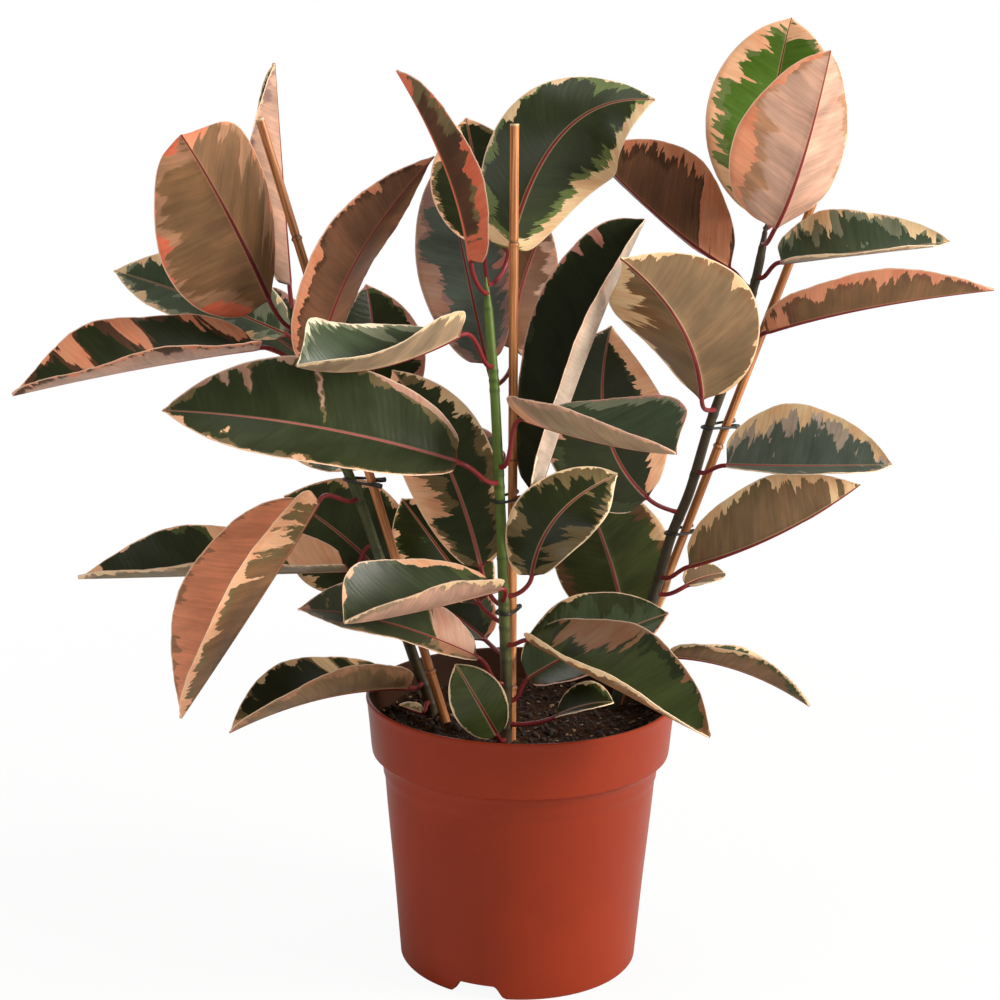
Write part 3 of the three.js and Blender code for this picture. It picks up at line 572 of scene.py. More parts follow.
def drawn_curve(points, t):
    """Points on the curve that starts at the first point, ends at the last and is drawn toward those between,
    and its directions there. Each round puts new points a share t of the way from one to the next, until
    two are left, which lie on the curve's tangent."""
    while len(points) > 2:
        points = [blend(a, b, t) for a, b in zip(points[:-1], points[1:])]
    return blend(*points, t), unit(points[1] - points[0])


def rings_to_faces(rows, count):
    """The faces of a tube of that many rings of count points each, closed at both ends."""
    k, j = np.meshgrid(np.arange(rows - 1), np.arange(count), indexing="ij")
    near = (j + 1) % count
    faces = np.stack([k * count + j, k * count + near, (k + 1) * count + near, (k + 1) * count + j], axis=-1)
    faces = faces.reshape(-1, 4).tolist()
    faces.append(list(range(count))[::-1])
    faces.append([(rows - 1) * count + j for j in range(count)])
    return faces


def tube(centres, directions, radii, sides, reference=(1.0, 0.0, 0.0)):
    """Rings round a line: each point is the centre plus radius times the cosine and sine of its angle, along
    two directions square to the line. The first of them is the one nearest the reference. The radii are
    one for each ring, or one for each of its points."""
    side = unit(np.asarray(reference) - directions * (directions @ np.asarray(reference))[:, None])
    front = np.cross(directions, side)
    angle = angles(sides)[None, :, None]
    spread = np.reshape(radii, (len(centres), -1, 1))
    return centres[:, None] + spread * (np.cos(angle) * side[:, None] + np.sin(angle) * front[:, None])


def linked(name, data):
    """An object of some data, put in the scene."""
    found = bpy.data.objects.new(name, data)
    bpy.context.scene.collection.objects.link(found)
    return found


def new_mesh(name, places, faces):
    """A mesh of places in metres."""
    mesh = bpy.data.meshes.new(name)
    mesh.from_pydata(places, [], faces)
    return mesh


def from_axis(points):
    """Points in millimetres from the pot's axis as places in metres."""
    return (np.asarray(points, float).reshape(-1, 3) * MM + AXIS).tolist()


def new_piece(name, points, finish, replaced=(), smooth_to=60, fields=None, uv=None, faces=None):
    """A piece of rings of points, or of the given faces, with its finish. It rides on the plant's one body.
    Each field has one number, vector or tone for each point."""
    mesh = new_mesh(name, from_axis(points), faces or rings_to_faces(*points.shape[:2]))
    kinds = {1: ("FLOAT", "value"), 3: ("FLOAT_VECTOR", "vector"), 4: ("FLOAT_COLOR", "color")}
    for key, values in (fields or {}).items():
        values = np.asarray(values, np.float32).ravel()
        kind, part = kinds[len(values) // len(mesh.vertices)]
        mesh.attributes.new(key, kind, "POINT").data.foreach_set(part, values)
    if uv is not None:
        layer = mesh.uv_layers.new(name="surface")
        corner = np.zeros(len(mesh.loops), np.int32)
        mesh.loops.foreach_get("vertex_index", corner)
        layer.data.foreach_set("uv", np.asarray(uv, np.float32).reshape(-1, 2)[corner].ravel())
    mesh.polygons.foreach_set("use_smooth", np.ones(len(mesh.polygons), bool))
    mesh.set_sharp_from_angle(angle=np.radians(smooth_to))
    mesh.update()
    mesh.materials.append(finish)
    piece = linked(name, mesh)
    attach(piece, "root")
    if replaced:
        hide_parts(*replaced)
    return piece


def fill(tree, node, inputs):
    """Fills a node's inputs with values or links them to other nodes' outputs."""
    for key, value in inputs.items():
        if isinstance(value, bpy.types.NodeSocket):
            tree.links.new(value, node.inputs[key])
        else:
            node.inputs[key].default_value = tuple(value) if isinstance(value, np.ndarray) else value


def add(tree, kind, inputs=None, **settings):
    """A shader node with its properties set and its inputs filled."""
    node = tree.nodes.new(kind)
    for key, value in settings.items():
        setattr(node, key, value)
    fill(tree, node, inputs or {})
    return node


def calc(tree, operation, first, second=0.0, third=0.0):
    """The output of a Math node."""
    return add(tree, "ShaderNodeMath", {0: first, 1: second, 2: third}, operation=operation).outputs[0]


def vector_calc(tree, operation, first, second=(0.0, 0.0, 0.0), output="Vector"):
    """The output of a Vector Math node."""
    return add(tree, "ShaderNodeVectorMath", {0: first, 1: second}, operation=operation).outputs[output]


def mixed(tree, share, first, second, mode="MIX"):
    """The output of a node that mixes two tones."""
    node = add(tree, "ShaderNodeMix", {0: share, 6: first, 7: second}, data_type="RGBA", blend_type=mode)
    return node.outputs[2]


def tinted(tree, tone, factor):
    """A tone times a number or another tone."""
    return mixed(tree, 1.0, tone, factor, "MULTIPLY")


def ramped(tree, value, low, high, to_low=0.0, to_high=1.0, kind="SMOOTHSTEP"):
    """A value carried from one range to another along a soft step."""
    node = add(tree, "ShaderNodeMapRange", {0: value, 1: low, 2: high, 3: to_low, 4: to_high},
               interpolation_type=kind)
    return node.outputs[0]


def scaled(tree, value, low, high, to_low=0.0, to_high=1.0):
    """A value carried from one range to another along a straight line."""
    return ramped(tree, value, low, high, to_low, to_high, "LINEAR")


def noise(tree, place, detail, scale=1.0, roughness=0.5, stretch=None):
    """A noise at a place. Where a stretch is given, the place is first multiplied by it."""
    if stretch:
        place = vector_calc(tree, "MULTIPLY", place, stretch)
    return add(tree, "ShaderNodeTexNoise", {
        "Vector": place, "Scale": scale, "Detail": detail, "Roughness": roughness}).outputs["Fac"]


def first_part(tree, tone):
    """The red part of a tone, which serves as a random number."""
    return add(tree, "ShaderNodeSeparateColor", {0: tone}).outputs[0]


def relief(tree, height, strength, distance):
    """A surface's direction with bumps on it: a height from 0 to 1, times a distance in metres."""
    return add(tree, "ShaderNodeBump", {
        "Height": height, "Strength": strength, "Distance": distance}).outputs[0]


def read(tree, attribute, output="Fac"):
    """One of the piece's own fields."""
    return add(tree, "ShaderNodeAttribute", attribute_name=attribute).outputs[output]


def own_place(tree):
    """Where a point lies on its piece."""
    return add(tree, "ShaderNodeTexCoord").outputs["Object"]


def new_group(name, inputs, outputs):
    """An empty node group, what comes into it and the node that takes what leaves it. An input without
    a first value is a vector, and every other one and every output is a number."""
    group = bpy.data.node_groups.new(name, "ShaderNodeTree")
    for key, value in inputs.items():
        kind = "NodeSocketVector" if value is None else "NodeSocketFloat"
        socket = group.interface.new_socket(name=key, in_out="INPUT", socket_type=kind)
        if value is not None:
            socket.default_value = value
    for key in outputs:
        group.interface.new_socket(name=key, in_out="OUTPUT", socket_type="NodeSocketFloat")
    return group, group.nodes.new("NodeGroupInput").outputs, group.nodes.new("NodeGroupOutput")


def placed(tree, name, inputs):
    """A node group's outputs in a material, with its own values. The group is made when it is first used."""
    if name not in bpy.data.node_groups:
        GROUPS[name](name)
    return add(tree, "ShaderNodeGroup", inputs, node_tree=bpy.data.node_groups[name]).outputs


def ragged_border(name):
    """A border that breaks up in pointed tongues along the side veins. Each long and each short cell along
    the blade moves the gap to the border by its own random amount, most in its middle. The long ones are
    squared, so that few tongues are deep. A noise drawn out along the veins frays the rest."""
    group, enter, leave = new_group(name, {
        "Vein": None, "Gap": 0.0, "Jag": 4.0, "Fray": 1.5, "Length": 13.0, "Seed": 0.0, "Softness": 0.3},
        ["Inside"])
    across, along, seed = add(group, "ShaderNodeSeparateXYZ", {0: enter["Vein"]}).outputs
    seed = calc(group, "ADD", seed, enter["Seed"])
    place = add(group, "ShaderNodeCombineXYZ", {0: across, 1: along, 2: seed}).outputs[0]
    wobble = noise(group, place, 2.0, stretch=(0.1, 0.12, 1.0))
    along = calc(group, "MULTIPLY_ADD", wobble, 5.0, along)
    steps = calc(group, "DIVIDE", along, enter["Length"])
    sides = calc(group, "MULTIPLY", calc(group, "GREATER_THAN", across, 0.0), 31.7)
    total = 0.9
    for pace, power, weight in ((1.0, 2.0, -2.6), (2.7, 1.0, -1.2), (7.0, 1.0, -0.5)):
        spot = calc(group, "ADD", calc(group, "MULTIPLY_ADD", steps, pace, seed), sides)
        cell = add(group, "ShaderNodeTexVoronoi", {"W": spot, "Scale": 1.0, "Randomness": 1.0},
                   voronoi_dimensions="1D").outputs
        value = calc(group, "POWER", first_part(group, cell["Color"]), power)
        peak = scaled(group, cell["Distance"], 0.7, 0.0)
        total = calc(group, "MULTIPLY_ADD", calc(group, "MULTIPLY", value, peak), weight, total)
    place = add(group, "ShaderNodeCombineXYZ", {0: across, 1: along, 2: seed}).outputs[0]
    fine = noise(group, place, 5.0, roughness=0.65, stretch=(0.09, 0.8, 1.0))
    depth = calc(group, "MULTIPLY_ADD", enter["Jag"], 0.9, enter["Fray"])
    frayed = calc(group, "MULTIPLY", calc(group, "SUBTRACT", fine, 0.5), depth)
    gap = calc(group, "ADD", calc(group, "MULTIPLY_ADD", total, enter["Jag"], enter["Gap"]), frayed)
    soft = enter["Softness"]
    fill(group, leave, {"Inside": ramped(group, gap, calc(group, "MULTIPLY", soft, -1.0), soft)})


def side_veins(name):
    """The side veins: thin lines at even distances along the blade, a little uneven, as a mask for the lines,
    a height that swells between them and a fine streak along them."""
    group, enter, leave = new_group(name, {"Vein": None, "Spacing": 4.6}, ["Line", "Swell", "Streak"])
    across, along, seed = add(group, "ShaderNodeSeparateXYZ", {0: enter["Vein"]}).outputs
    wobble = noise(group, enter["Vein"], 1.0, stretch=(0.05, 0.07, 1.0))
    along = calc(group, "MULTIPLY_ADD", wobble, 5.0, along)
    swing = calc(group, "PINGPONG", calc(group, "DIVIDE", along, enter["Spacing"]), 0.5)
    place = add(group, "ShaderNodeCombineXYZ", {0: across, 1: along, 2: seed}).outputs[0]
    fill(group, leave, {"Line": ramped(group, swing, 0.09, 0.0), "Swell": ramped(group, swing, 0.0, 0.5),
                        "Streak": noise(group, place, 4.0, stretch=(0.035, 0.55, 1.0))})


def fine_grain(name):
    """Grain: a fine noise over the piece's own place, as a shade and a height."""
    group, enter, leave = new_group(name, {"Vector": None, "Size": 400.0, "Depth": 0.1}, ["Shade", "Height"])
    height = noise(group, enter["Vector"], 4.0, enter["Size"])
    shade = calc(group, "MULTIPLY_ADD", calc(group, "SUBTRACT", height, 0.5), enter["Depth"], 1.0)
    fill(group, leave, {"Shade": shade, "Height": height})


GROUPS = {"Ragged border": ragged_border, "Side veins": side_veins, "Fine grain": fine_grain}


def new_material(name):
    """A material with nothing in it but its Principled shader, its node tree and that shader."""
    material = bpy.data.materials.new(name)
    material.use_nodes = True
    return material, material.node_tree, material.node_tree.nodes["Principled BSDF"]


def simple_finish(name, tone, roughness, grain_size, grain_depth, strength=0.3, distance=0.0002):
    """A plain finish with fine grain in its shade and surface, of one tone or of a field of the piece's."""
    material, tree, shader = new_material(name)
    grain = placed(tree, "Fine grain", {"Vector": own_place(tree), "Size": grain_size, "Depth": grain_depth})
    base = read(tree, tone, "Color") if isinstance(tone, str) else tone
    fill(tree, shader, {
        "Base Color": tinted(tree, base, grain["Shade"]), "Roughness": roughness,
        "Normal": relief(tree, grain["Height"], strength, distance)})
    return material


def leaf_finish(settings):
    """A thick glossy leaf: dark green, broken toward the margin by a paler green and then by the pale margin
    itself, with a red midrib, fine side veins and a duller, brownish under face."""
    material, tree, shader = new_material("Variegated leaf")
    vein, rim = read(tree, "vein", "Vector"), read(tree, "rim", "Color")
    under, gap, jag, border, patchy, rib_gap = (
        read(tree, key) for key in ("under", "gap", "jag", "border", "patchy", "rib_gap"))

    def by_face(upper, lower):
        return scaled(tree, under, 0.0, 1.0, upper, lower)

    veins = placed(tree, "Side veins", {"Vein": vein, "Spacing": settings.vein_spacing})
    mottle = noise(tree, vein, 4.0, stretch=(0.04, 0.07, 1.0))

    inside = placed(tree, "Ragged border", {"Vein": vein, "Gap": gap, "Jag": jag})["Inside"]
    second = placed(tree, "Ragged border", {
        "Vein": vein, "Gap": calc(tree, "MULTIPLY_ADD", patchy, -6.0, gap), "Length": 17.0, "Seed": 5.3,
        "Jag": calc(tree, "MULTIPLY", patchy, 10.0), "Fray": 4.0, "Softness": by_face(0.4, 2.2)})["Inside"]
    blot = noise(tree, vein, 5.0, roughness=0.6, stretch=(0.045, 0.11, 1.7))
    blot_from = calc(tree, "MULTIPLY_ADD", patchy, -0.1, 0.73)
    blotted = ramped(tree, blot, blot_from, calc(tree, "ADD", blot_from, by_face(0.03, 0.16)))
    core_share = calc(tree, "MULTIPLY", second, calc(tree, "SUBTRACT", 1.0, blotted))
    green = mixed(tree, core_share, read(tree, "patch", "Color"), read(tree, "core", "Color"))

    shade = scaled(tree, mottle, 0.3, 0.7, 0.8, 1.2)
    fibre = scaled(tree, veins["Streak"], 0.3, 0.7, 0.88, 1.12)
    green = tinted(tree, green, calc(tree, "MULTIPLY", shade, fibre))
    line_share = calc(tree, "MULTIPLY", veins["Line"], by_face(0.12, 0.35))
    green = mixed(tree, line_share, green, tinted(tree, green, VEIN_TINT))
    # Soft paler rose bands along the under face's veins: partly the leaf's own bloom, partly painted sheen
    bloom_and_sheen = noise(tree, vein, 2.0, stretch=(0.02, 0.085, 2.3))
    bloom_and_sheen_share = calc(tree, "MULTIPLY", ramped(tree, bloom_and_sheen, 0.42, 0.68, 0.0, 0.55), under)
    green = mixed(tree, bloom_and_sheen_share, green, tinted(tree, green, BLOOM_AND_SHEEN_TINT))

    flush = ramped(tree, mottle, 0.45, 0.62, 0.0, 0.7)
    pale = mixed(tree, flush, rim, tinted(tree, rim, FLUSH_TINT))
    pale = tinted(tree, pale, scaled(tree, veins["Streak"], 0.3, 0.7, 0.9, 1.08))
    colour = mixed(tree, inside, pale, green)
    edge = mixed(tree, 0.5, rim, EDGE_LIGHT)
    colour = mixed(tree, ramped(tree, border, 0.9, 0.25), colour, edge)
    colour = mixed(tree, ramped(tree, rib_gap, 0.9, 0.0, 0.0, 0.35), colour, rim)
    colour = mixed(tree, ramped(tree, rib_gap, 0.12, -0.18), colour, read(tree, "rib", "Color"))

    sheen = calc(tree, "MULTIPLY_ADD", mottle, 0.16, settings.upper_roughness - 0.08)
    dull = calc(tree, "MULTIPLY_ADD", mottle, 0.12, settings.under_roughness - 0.06)
    rough = add(tree, "ShaderNodeMix", {0: under, 2: sheen, 3: dull}, data_type="FLOAT").outputs[0]
    uneven = ramped(tree, mottle, 0.4, 0.65, 0.05, 0.35)
    height = calc(tree, "MULTIPLY_ADD", veins["Swell"], uneven, calc(tree, "MULTIPLY", veins["Streak"], 0.4))
    fill(tree, shader, {"Base Color": colour, "Roughness": rough, "Specular IOR Level": 0.22,
                        "Normal": relief(tree, height, 0.22, 0.0006)})
    return material


def bamboo_finish(settings):
    """Dry bamboo: streaks of lighter and darker fibre along the cane, darker round its joints."""
    material, tree, shader = new_material("Bamboo")
    fibre = noise(tree, read(tree, "fibre", "Vector"), 5.0, stretch=(0.8, 0.8, 0.02))
    straw, husk, pith = (linear(TONES[tone]) for tone in ("straw", "husk", "pith"))
    colour = mixed(tree, ramped(tree, fibre, 0.35, 0.65), straw, husk)
    colour = mixed(tree, calc(tree, "MULTIPLY", read(tree, "knot"), 0.75), colour, JOINT_LIGHT)
    colour = mixed(tree, read(tree, "cut"), colour, pith)
    fill(tree, shader, {"Base Color": colour, "Roughness": settings.cane_roughness,
                        "Normal": relief(tree, fibre, 0.3, 0.0003)})
    return material


def pot_finish(settings):
    """Terracotta-coloured moulded plastic: satin, with a fine grain and a faint cloudy tone, and with painted
    shade, a dark brown, on the inner wall over the soil: there the distance from the axis, less the wall's
    lean times the height, is less than in the middle of the wall."""
    material, tree, shader = new_material("Terracotta plastic")
    place = own_place(tree)
    grain = placed(tree, "Fine grain", {"Vector": place, "Size": 900.0, "Depth": 0.06})
    cloud = noise(tree, place, 3.0, 14.0)
    tone = chosen(settings.tone)
    colour = mixed(tree, ramped(tree, cloud, 0.4, 0.65), tone, shaded(tone, 1.12))
    colour = tinted(tree, colour, grain["Shade"])
    spot = vector_calc(tree, "SUBTRACT", place, AXIS)
    reach = vector_calc(tree, "LENGTH", vector_calc(tree, "MULTIPLY", spot, (1, 1, 0)), output="Value")
    height = add(tree, "ShaderNodeSeparateXYZ", {0: spot}).outputs[2]
    lean = calc(tree, "SUBTRACT", reach, calc(tree, "MULTIPLY", height, WALL_LEAN))
    shade_zone = calc(tree, "MULTIPLY", ramped(tree, lean, *INNER_SHADE_REACH), ramped(tree, height, *INNER_SHADE_HEIGHT))
    # Painted shade: a dark brown over the inner wall between the soil and the rim, broken up by the cloudy
    # noise
    painted_shade = calc(tree, "MULTIPLY", shade_zone, ramped(tree, cloud, 0.2, 0.5, 0.8, 0.96))
    fill(tree, shader, {
        "Base Color": mixed(tree, painted_shade, colour, INNER_SHADE_TONE), "Specular IOR Level": 0.16,
        "Roughness": scaled(tree, cloud, 0.3, 0.7, settings.roughness - 0.05, settings.roughness + 0.05),
        "Normal": relief(tree, grain["Height"], 0.25, 0.0002)})
    return material


def soil_finish(settings):
    """Dark moist peat: brown and nearly black crumbs, with pale fibres here and there."""
    material, tree, shader = new_material("Peat")
    place = own_place(tree)
    cell = add(tree, "ShaderNodeTexVoronoi", {"Vector": place, "Scale": 420.0, "Randomness": 1.0}).outputs
    grain = noise(tree, place, 5.0, 160.0)
    value = first_part(tree, cell["Color"])
    tone = chosen(settings.tone)
    colour = mixed(tree, value, shaded(tone, 0.4), shaded(tone, 1.7))
    colour = mixed(tree, ramped(tree, value, 0.965, 0.985), colour, FIBRE_LIGHT)
    height = calc(tree, "MULTIPLY_ADD", cell["Distance"], -1.0, grain)
    fill(tree, shader, {
        "Base Color": tinted(tree, colour, scaled(tree, grain, 0.3, 0.7, 0.6, 1.3)), "Roughness": 0.9,
        "Specular IOR Level": 0.1, "Normal": relief(tree, height, 0.9, 0.0015)})
    return material


def stem_radius(share):
    """A stem's radius falls evenly from its foot to its tip, where it closes in a bud."""
    bud = np.clip((1 - share) / BUD_SHARE, 0, 1)
    return blend(STEM_RADIUS_LOW, STEM_RADIUS_HIGH, share) * np.maximum(0.25, bud**0.6)


STEM_LINES = {name: smooth_line(points, STEM_STATIONS) for name, points in STEMS.items()}


def stem_at(name, height):
    """The middle of a stem at a height, its direction and its radius there."""
    line, along = STEM_LINES[name]
    share = np.interp(height, line[:, 2], np.linspace(0, 1, len(line)))
    point, heading = (np.array([np.interp(height, line[:, 2], column) for column in values.T])
                      for values in (line, along))
    return point, unit(heading), float(stem_radius(share))


def cane_at(name, height):
    """The middle of a cane at a height."""
    low, high = np.array(CANES[name], float)
    return blend(low, high, (height - low[2]) / (high[2] - low[2]))


def stem_piece(name, finish):
    """A stem: a tube along its line that swells a little into a ring at each leaf's node."""
    line, along = smooth_line(STEMS[name], STEM_RINGS)
    height = line[:, 2]
    scar = np.zeros(STEM_RINGS)
    for leaf, values in LEAVES.items():
        if leaf.startswith(f"leaf_{name}"):
            scar = np.maximum(scar, bell((height - values.node + 3) / NODE_LENGTH))
    radii = stem_radius(np.linspace(0, 1, STEM_RINGS)) + NODE_SWELL * scar
    low, high = (linear(TONES[tone]) for tone in STEM_TONES[name])
    tone = blend(low, high, smooth_step(*STEM_TONE_RISE, height)[:, None]) * (1 - 0.45 * scar[:, None])
    new_piece(f"shoot_{name}", tube(line, along, radii, STEM_SIDES), finish, [f"stem_{name}"],
              fields={"tone": np.repeat(tone, STEM_SIDES, axis=0)})


def cane_piece(name, finish):
    """A bamboo cane: a straight rod, a little thinner at its top, with a ridge and a groove at each joint."""
    low, high = np.array(CANES[name], float)
    length = np.linalg.norm(high - low)
    close = [joint + np.linspace(-JOINT_REACH, JOINT_REACH, 25) / length for joint in CANE_JOINTS]
    share = np.sort(np.concatenate([np.linspace(0, 1, CANE_RINGS), *close]))
    radii = CANE_RADIUS * (1 - CANE_TAPER * share)
    knot = np.zeros_like(share)
    for joint in CANE_JOINTS:
        off = (share - joint) * length
        for height, middle, reach in JOINT_RELIEF:
            radii = radii + height * bell((off - middle) / reach)
        knot = np.maximum(knot, bell((off - 1.6) / 0.9))
    angle = angles(CANE_SIDES)
    out_of_round = 1 + 0.02 * np.cos(3 * angle)
    line = blend(low, high, share[:, None])
    along = np.repeat(unit(high - low)[None], len(share), axis=0)
    points = tube(line, along, radii[:, None] * out_of_round, CANE_SIDES)
    fibre = np.broadcast_arrays(3 * np.cos(angle), 3 * np.sin(angle), (share * length)[:, None])
    cut = smooth_step(*CANE_CUT, share)
    new_piece(f"bamboo_{name}", points, finish, [f"cane_{name}"], fields={
        "fibre": np.stack(fibre, axis=-1), "knot": np.repeat(knot, CANE_SIDES),
        "cut": np.repeat(cut, CANE_SIDES)})


def tie_piece(name, finish):
    """A tie: a soft round wire that loops round stem and cane and ends in two stubs side by side."""
    stem, height = TIES[name]
    point, _, radius = stem_at(stem, height)
    across = (cane_at(stem, height) - point) * (1, 1, 0)
    far = point + across
    across = unit(across)
    square = np.array([-across[1], across[0], 0])
    off_stem, off_cane = radius + TIE_OFF_STEM, CANE_RADIUS + TIE_OFF_CANE

    def at(centre, off, degrees, rise=0.0):
        angle = np.radians(degrees)
        return centre + off * (across * np.cos(angle) + square * np.sin(angle)) + (0, 0, rise)

    loop = [at(far, off_cane + TIE_STUB_LENGTH, 14, 2)]
    loop += [at(far, off_cane, turn, 1) for turn in (35, 65, 92)]
    loop += [at(point, off_stem, turn) for turn in (92, 125, 155, 180, 205, 235, 268)]
    loop += [at(far, off_cane, turn, -1) for turn in (268, 295, 325)]
    loop.append(at(far, off_cane + TIE_STUB_LENGTH, -14, -2))
    line, along = smooth_line(loop, TIE_RINGS)
    share = np.linspace(0, 1, TIE_RINGS)
    stubs = np.maximum(smooth_step(0.13, 0.09, share), smooth_step(0.87, 0.91, share))
    radii = TIE_RADIUS + TIE_STUB_SWELL * stubs
    radii[0] = radii[-1] = 0.5
    points = tube(line, along, radii, TIE_SIDES, reference=(0.0, 0.0, 1.0))
    new_piece(name + "_wire", points, finish, [name])


def resampled(profile, step):
    """A profile with points about one step apart on the same straight runs."""
    profile = np.asarray(profile, float)
    found = [profile[:1]]
    for start, end in zip(profile[:-1], profile[1:]):
        count = max(1, int(np.ceil(np.linalg.norm(end - start) / step)))
        found.append(blend(start, end, np.arange(1, count + 1)[:, None] / count))
    return np.vstack(found)


def pot_piece(settings):
    """The pot: its profile turned about the axis. Where a foot notch is, the foot's rings are lifted to the
    notch's height, and beside it they fall in a soft curve. The drain holes are cut through its floor."""
    profile = resampled(POT_PROFILE, POT_STEP)
    middles = np.radians(-90 + NOTCH_TURN + 360 / NOTCH_COUNT * np.arange(NOTCH_COUNT))[:, None]
    reach = NOTCH_HALF_WIDTH + 3
    near = middles + np.linspace(-reach, reach, NOTCH_SIDES) / BASE_RADIUS
    angle = np.unique(np.round(np.mod(np.concatenate([angles(POT_SIDES), *near]), TURN), 5))
    off = np.abs(np.mod(angle - middles + np.pi, TURN) - np.pi).min(axis=0) * BASE_RADIUS
    notch = NOTCH_HEIGHT * smooth_step(NOTCH_HALF_WIDTH + 1, NOTCH_HALF_TOP - 1, off)
    r, z = profile[:, :1], profile[:, 1:]
    foot = (z < NOTCH_HEIGHT) & (np.abs(r - FOOT_MIDDLE) < FOOT_HALF_WIDTH)
    height = np.where(foot, np.maximum(z, notch), z)
    points = np.stack([r * np.cos(angle), r * np.sin(angle), height], axis=-1)
    cut_drain_holes(new_piece("nursery_pot", points, pot_finish(settings), ["pot"], 35))


def cut_drain_holes(piece):
    """Cuts a ring of round holes through the floor of the pot and keeps the result as its mesh."""
    points, faces = [], []
    for turn in (np.arange(DRAIN_COUNT) + 0.5) * TURN / DRAIN_COUNT:
        x, y = DRAIN_CIRCLE * np.cos(turn), DRAIN_CIRCLE * np.sin(turn)
        line = np.array([(x, y, height) for height in DRAIN_SPAN])
        start = len(points) * 2 * DRAIN_SIDES
        points.append(tube(line, np.array([[0, 0, 1.0]] * 2), [DRAIN_RADIUS] * 2, DRAIN_SIDES))
        faces += [[i + start for i in face] for face in rings_to_faces(2, DRAIN_SIDES)]
    cutter = linked("hole_cutters", new_mesh("hole_cutters", from_axis(points), faces))
    modifier = piece.modifiers.new("holes", "BOOLEAN")
    modifier.operation = "DIFFERENCE"
    modifier.solver = "EXACT"
    modifier.object = cutter
    graph = bpy.context.evaluated_depsgraph_get()
    mesh = bpy.data.meshes.new_from_object(piece.evaluated_get(graph))
    piece.modifiers.remove(modifier)
    piece.data = mesh
    bpy.data.objects.remove(cutter)


def soil_height(x, y, seed):
    """The soil's top: a level place with lumps, the sum of waves of many lengths in every direction."""
    random = np.random.default_rng(seed)
    turn = random.uniform(0, TURN, LUMP_COUNT)
    length = np.geomspace(*LUMP_LENGTHS, LUMP_COUNT)
    start = random.uniform(0, TURN, LUMP_COUNT)
    phase = (x[..., None] * np.cos(turn) + y[..., None] * np.sin(turn)) * TURN / length + start
    lumps = np.sum(np.sin(phase) * length * LUMP_HEIGHT, axis=-1)
    fall = SOIL_EDGE_FALL * smooth_step(*SOIL_EDGE, np.hypot(x, y))
    return SOIL_LEVEL + SOIL_RISE + lumps - fall


def soil_piece(settings):
    """The soil: a plug whose top is uneven."""
    angle = angles(SOIL_SIDES)
    top = np.stack([np.linspace(SOIL_RADIUS, 1, SOIL_ROWS), np.zeros(SOIL_ROWS)], axis=-1)
    profile = np.vstack([SOIL_WALL, top])
    x, y = profile[:, :1] * np.cos(angle), profile[:, :1] * np.sin(angle)
    on_wall = (np.arange(len(profile)) < len(SOIL_WALL))[:, None]
    z = np.where(on_wall, profile[:, 1:], soil_height(x, y, settings.seed))
    new_piece("peat", np.stack([x, y, z], axis=-1), soil_finish(settings), ["soil"], 80)


def crumb_piece(settings):
    """Loose crumbs of peat and bark over the soil: uneven icosahedra, each stretched and turned at random,
    with a pale one here and there."""
    random = np.random.default_rng(settings.seed + 1)
    count = settings.crumbs
    golden = (1 + 5**0.5) / 2
    corners = np.array([(a, b * golden, 0) for a in (-1, 1) for b in (-1, 1)], float)
    corners = unit(np.vstack([np.roll(corners, shift, axis=1) for shift in range(3)]))
    where = CRUMB_REACH * np.sqrt(random.uniform(0, 1, count))
    turn = random.uniform(0, TURN, count)
    x, y = where * np.cos(turn), where * np.sin(turn)
    size = np.clip(random.lognormal(0.1, 0.5, count), *CRUMB_SIZES)
    stretch = random.uniform(*CRUMB_STRETCH, (count, 1, 3))
    uneven = 1 + random.uniform(-CRUMB_UNEVENNESS, CRUMB_UNEVENNESS, (count, CRUMB_CORNERS, 1))
    shape = corners[None] * uneven * stretch * size[:, None, None]
    spin = random.uniform(0, TURN, count)[:, None]
    turned = np.stack([shape[..., 0] * np.cos(spin) - shape[..., 1] * np.sin(spin),
                       shape[..., 0] * np.sin(spin) + shape[..., 1] * np.cos(spin), shape[..., 2]], axis=-1)
    ground = soil_height(x, y, settings.seed)
    places = turned + np.stack([x, y, ground + 0.25 * size], axis=-1)[:, None]
    first = CRUMB_CORNERS * np.arange(count)[:, None, None]
    faces = (icosahedron_faces(corners)[None] + first).reshape(-1, 3).tolist()
    pale = random.uniform(0, 1, count) < PALE_CRUMBS
    lightness = np.where(pale, PALE_CRUMB_SHADE, random.uniform(*CRUMB_SHADES, count))[:, None]
    tone = chosen(settings.tone) * np.hstack([lightness, lightness, lightness, np.ones((count, 1))])
    finish = simple_finish("Peat crumb", "tone", 0.9, 500, 0.8, 0.7, 0.0008)
    new_piece("peat_crumbs", places, finish, smooth_to=80, faces=faces,
              fields={"tone": np.repeat(tone, CRUMB_CORNERS, axis=0)})


def icosahedron_faces(corners):
    """The twenty faces of an icosahedron: every three corners whose sides are all as long as the shortest."""
    gap = np.linalg.norm(corners[:, None] - corners[None], axis=-1)
    near = (gap > 0) & (gap < gap[gap > 0].min() * 1.01)
    found = []
    for a in range(CRUMB_CORNERS):
        for b in range(a + 1, CRUMB_CORNERS):
            for c in range(b + 1, CRUMB_CORNERS):
                if near[a, b] and near[b, c] and near[a, c]:
                    out = np.cross(corners[b] - corners[a], corners[c] - corners[a]) @ corners[a]
                    found.append((a, b, c) if out > 0 else (a, c, b))
    return np.array(found)


def blade_share(t, blunt):
    """The half width of a blade along its length as a share of the full width: a sine raised to a power
    that grows toward the tip, so that the blade is broad at its base and narrows to a point. A blunt blade
    stays broad nearly to its tip."""
    sine = np.sin(np.pi * np.minimum(t, 0.985) ** 0.95)
    return 0.5 * sine ** (0.48 + 0.16 * (1 - blunt) * t) * (1 - 0.6 * t ** (16 + 60 * max(0, blunt)))


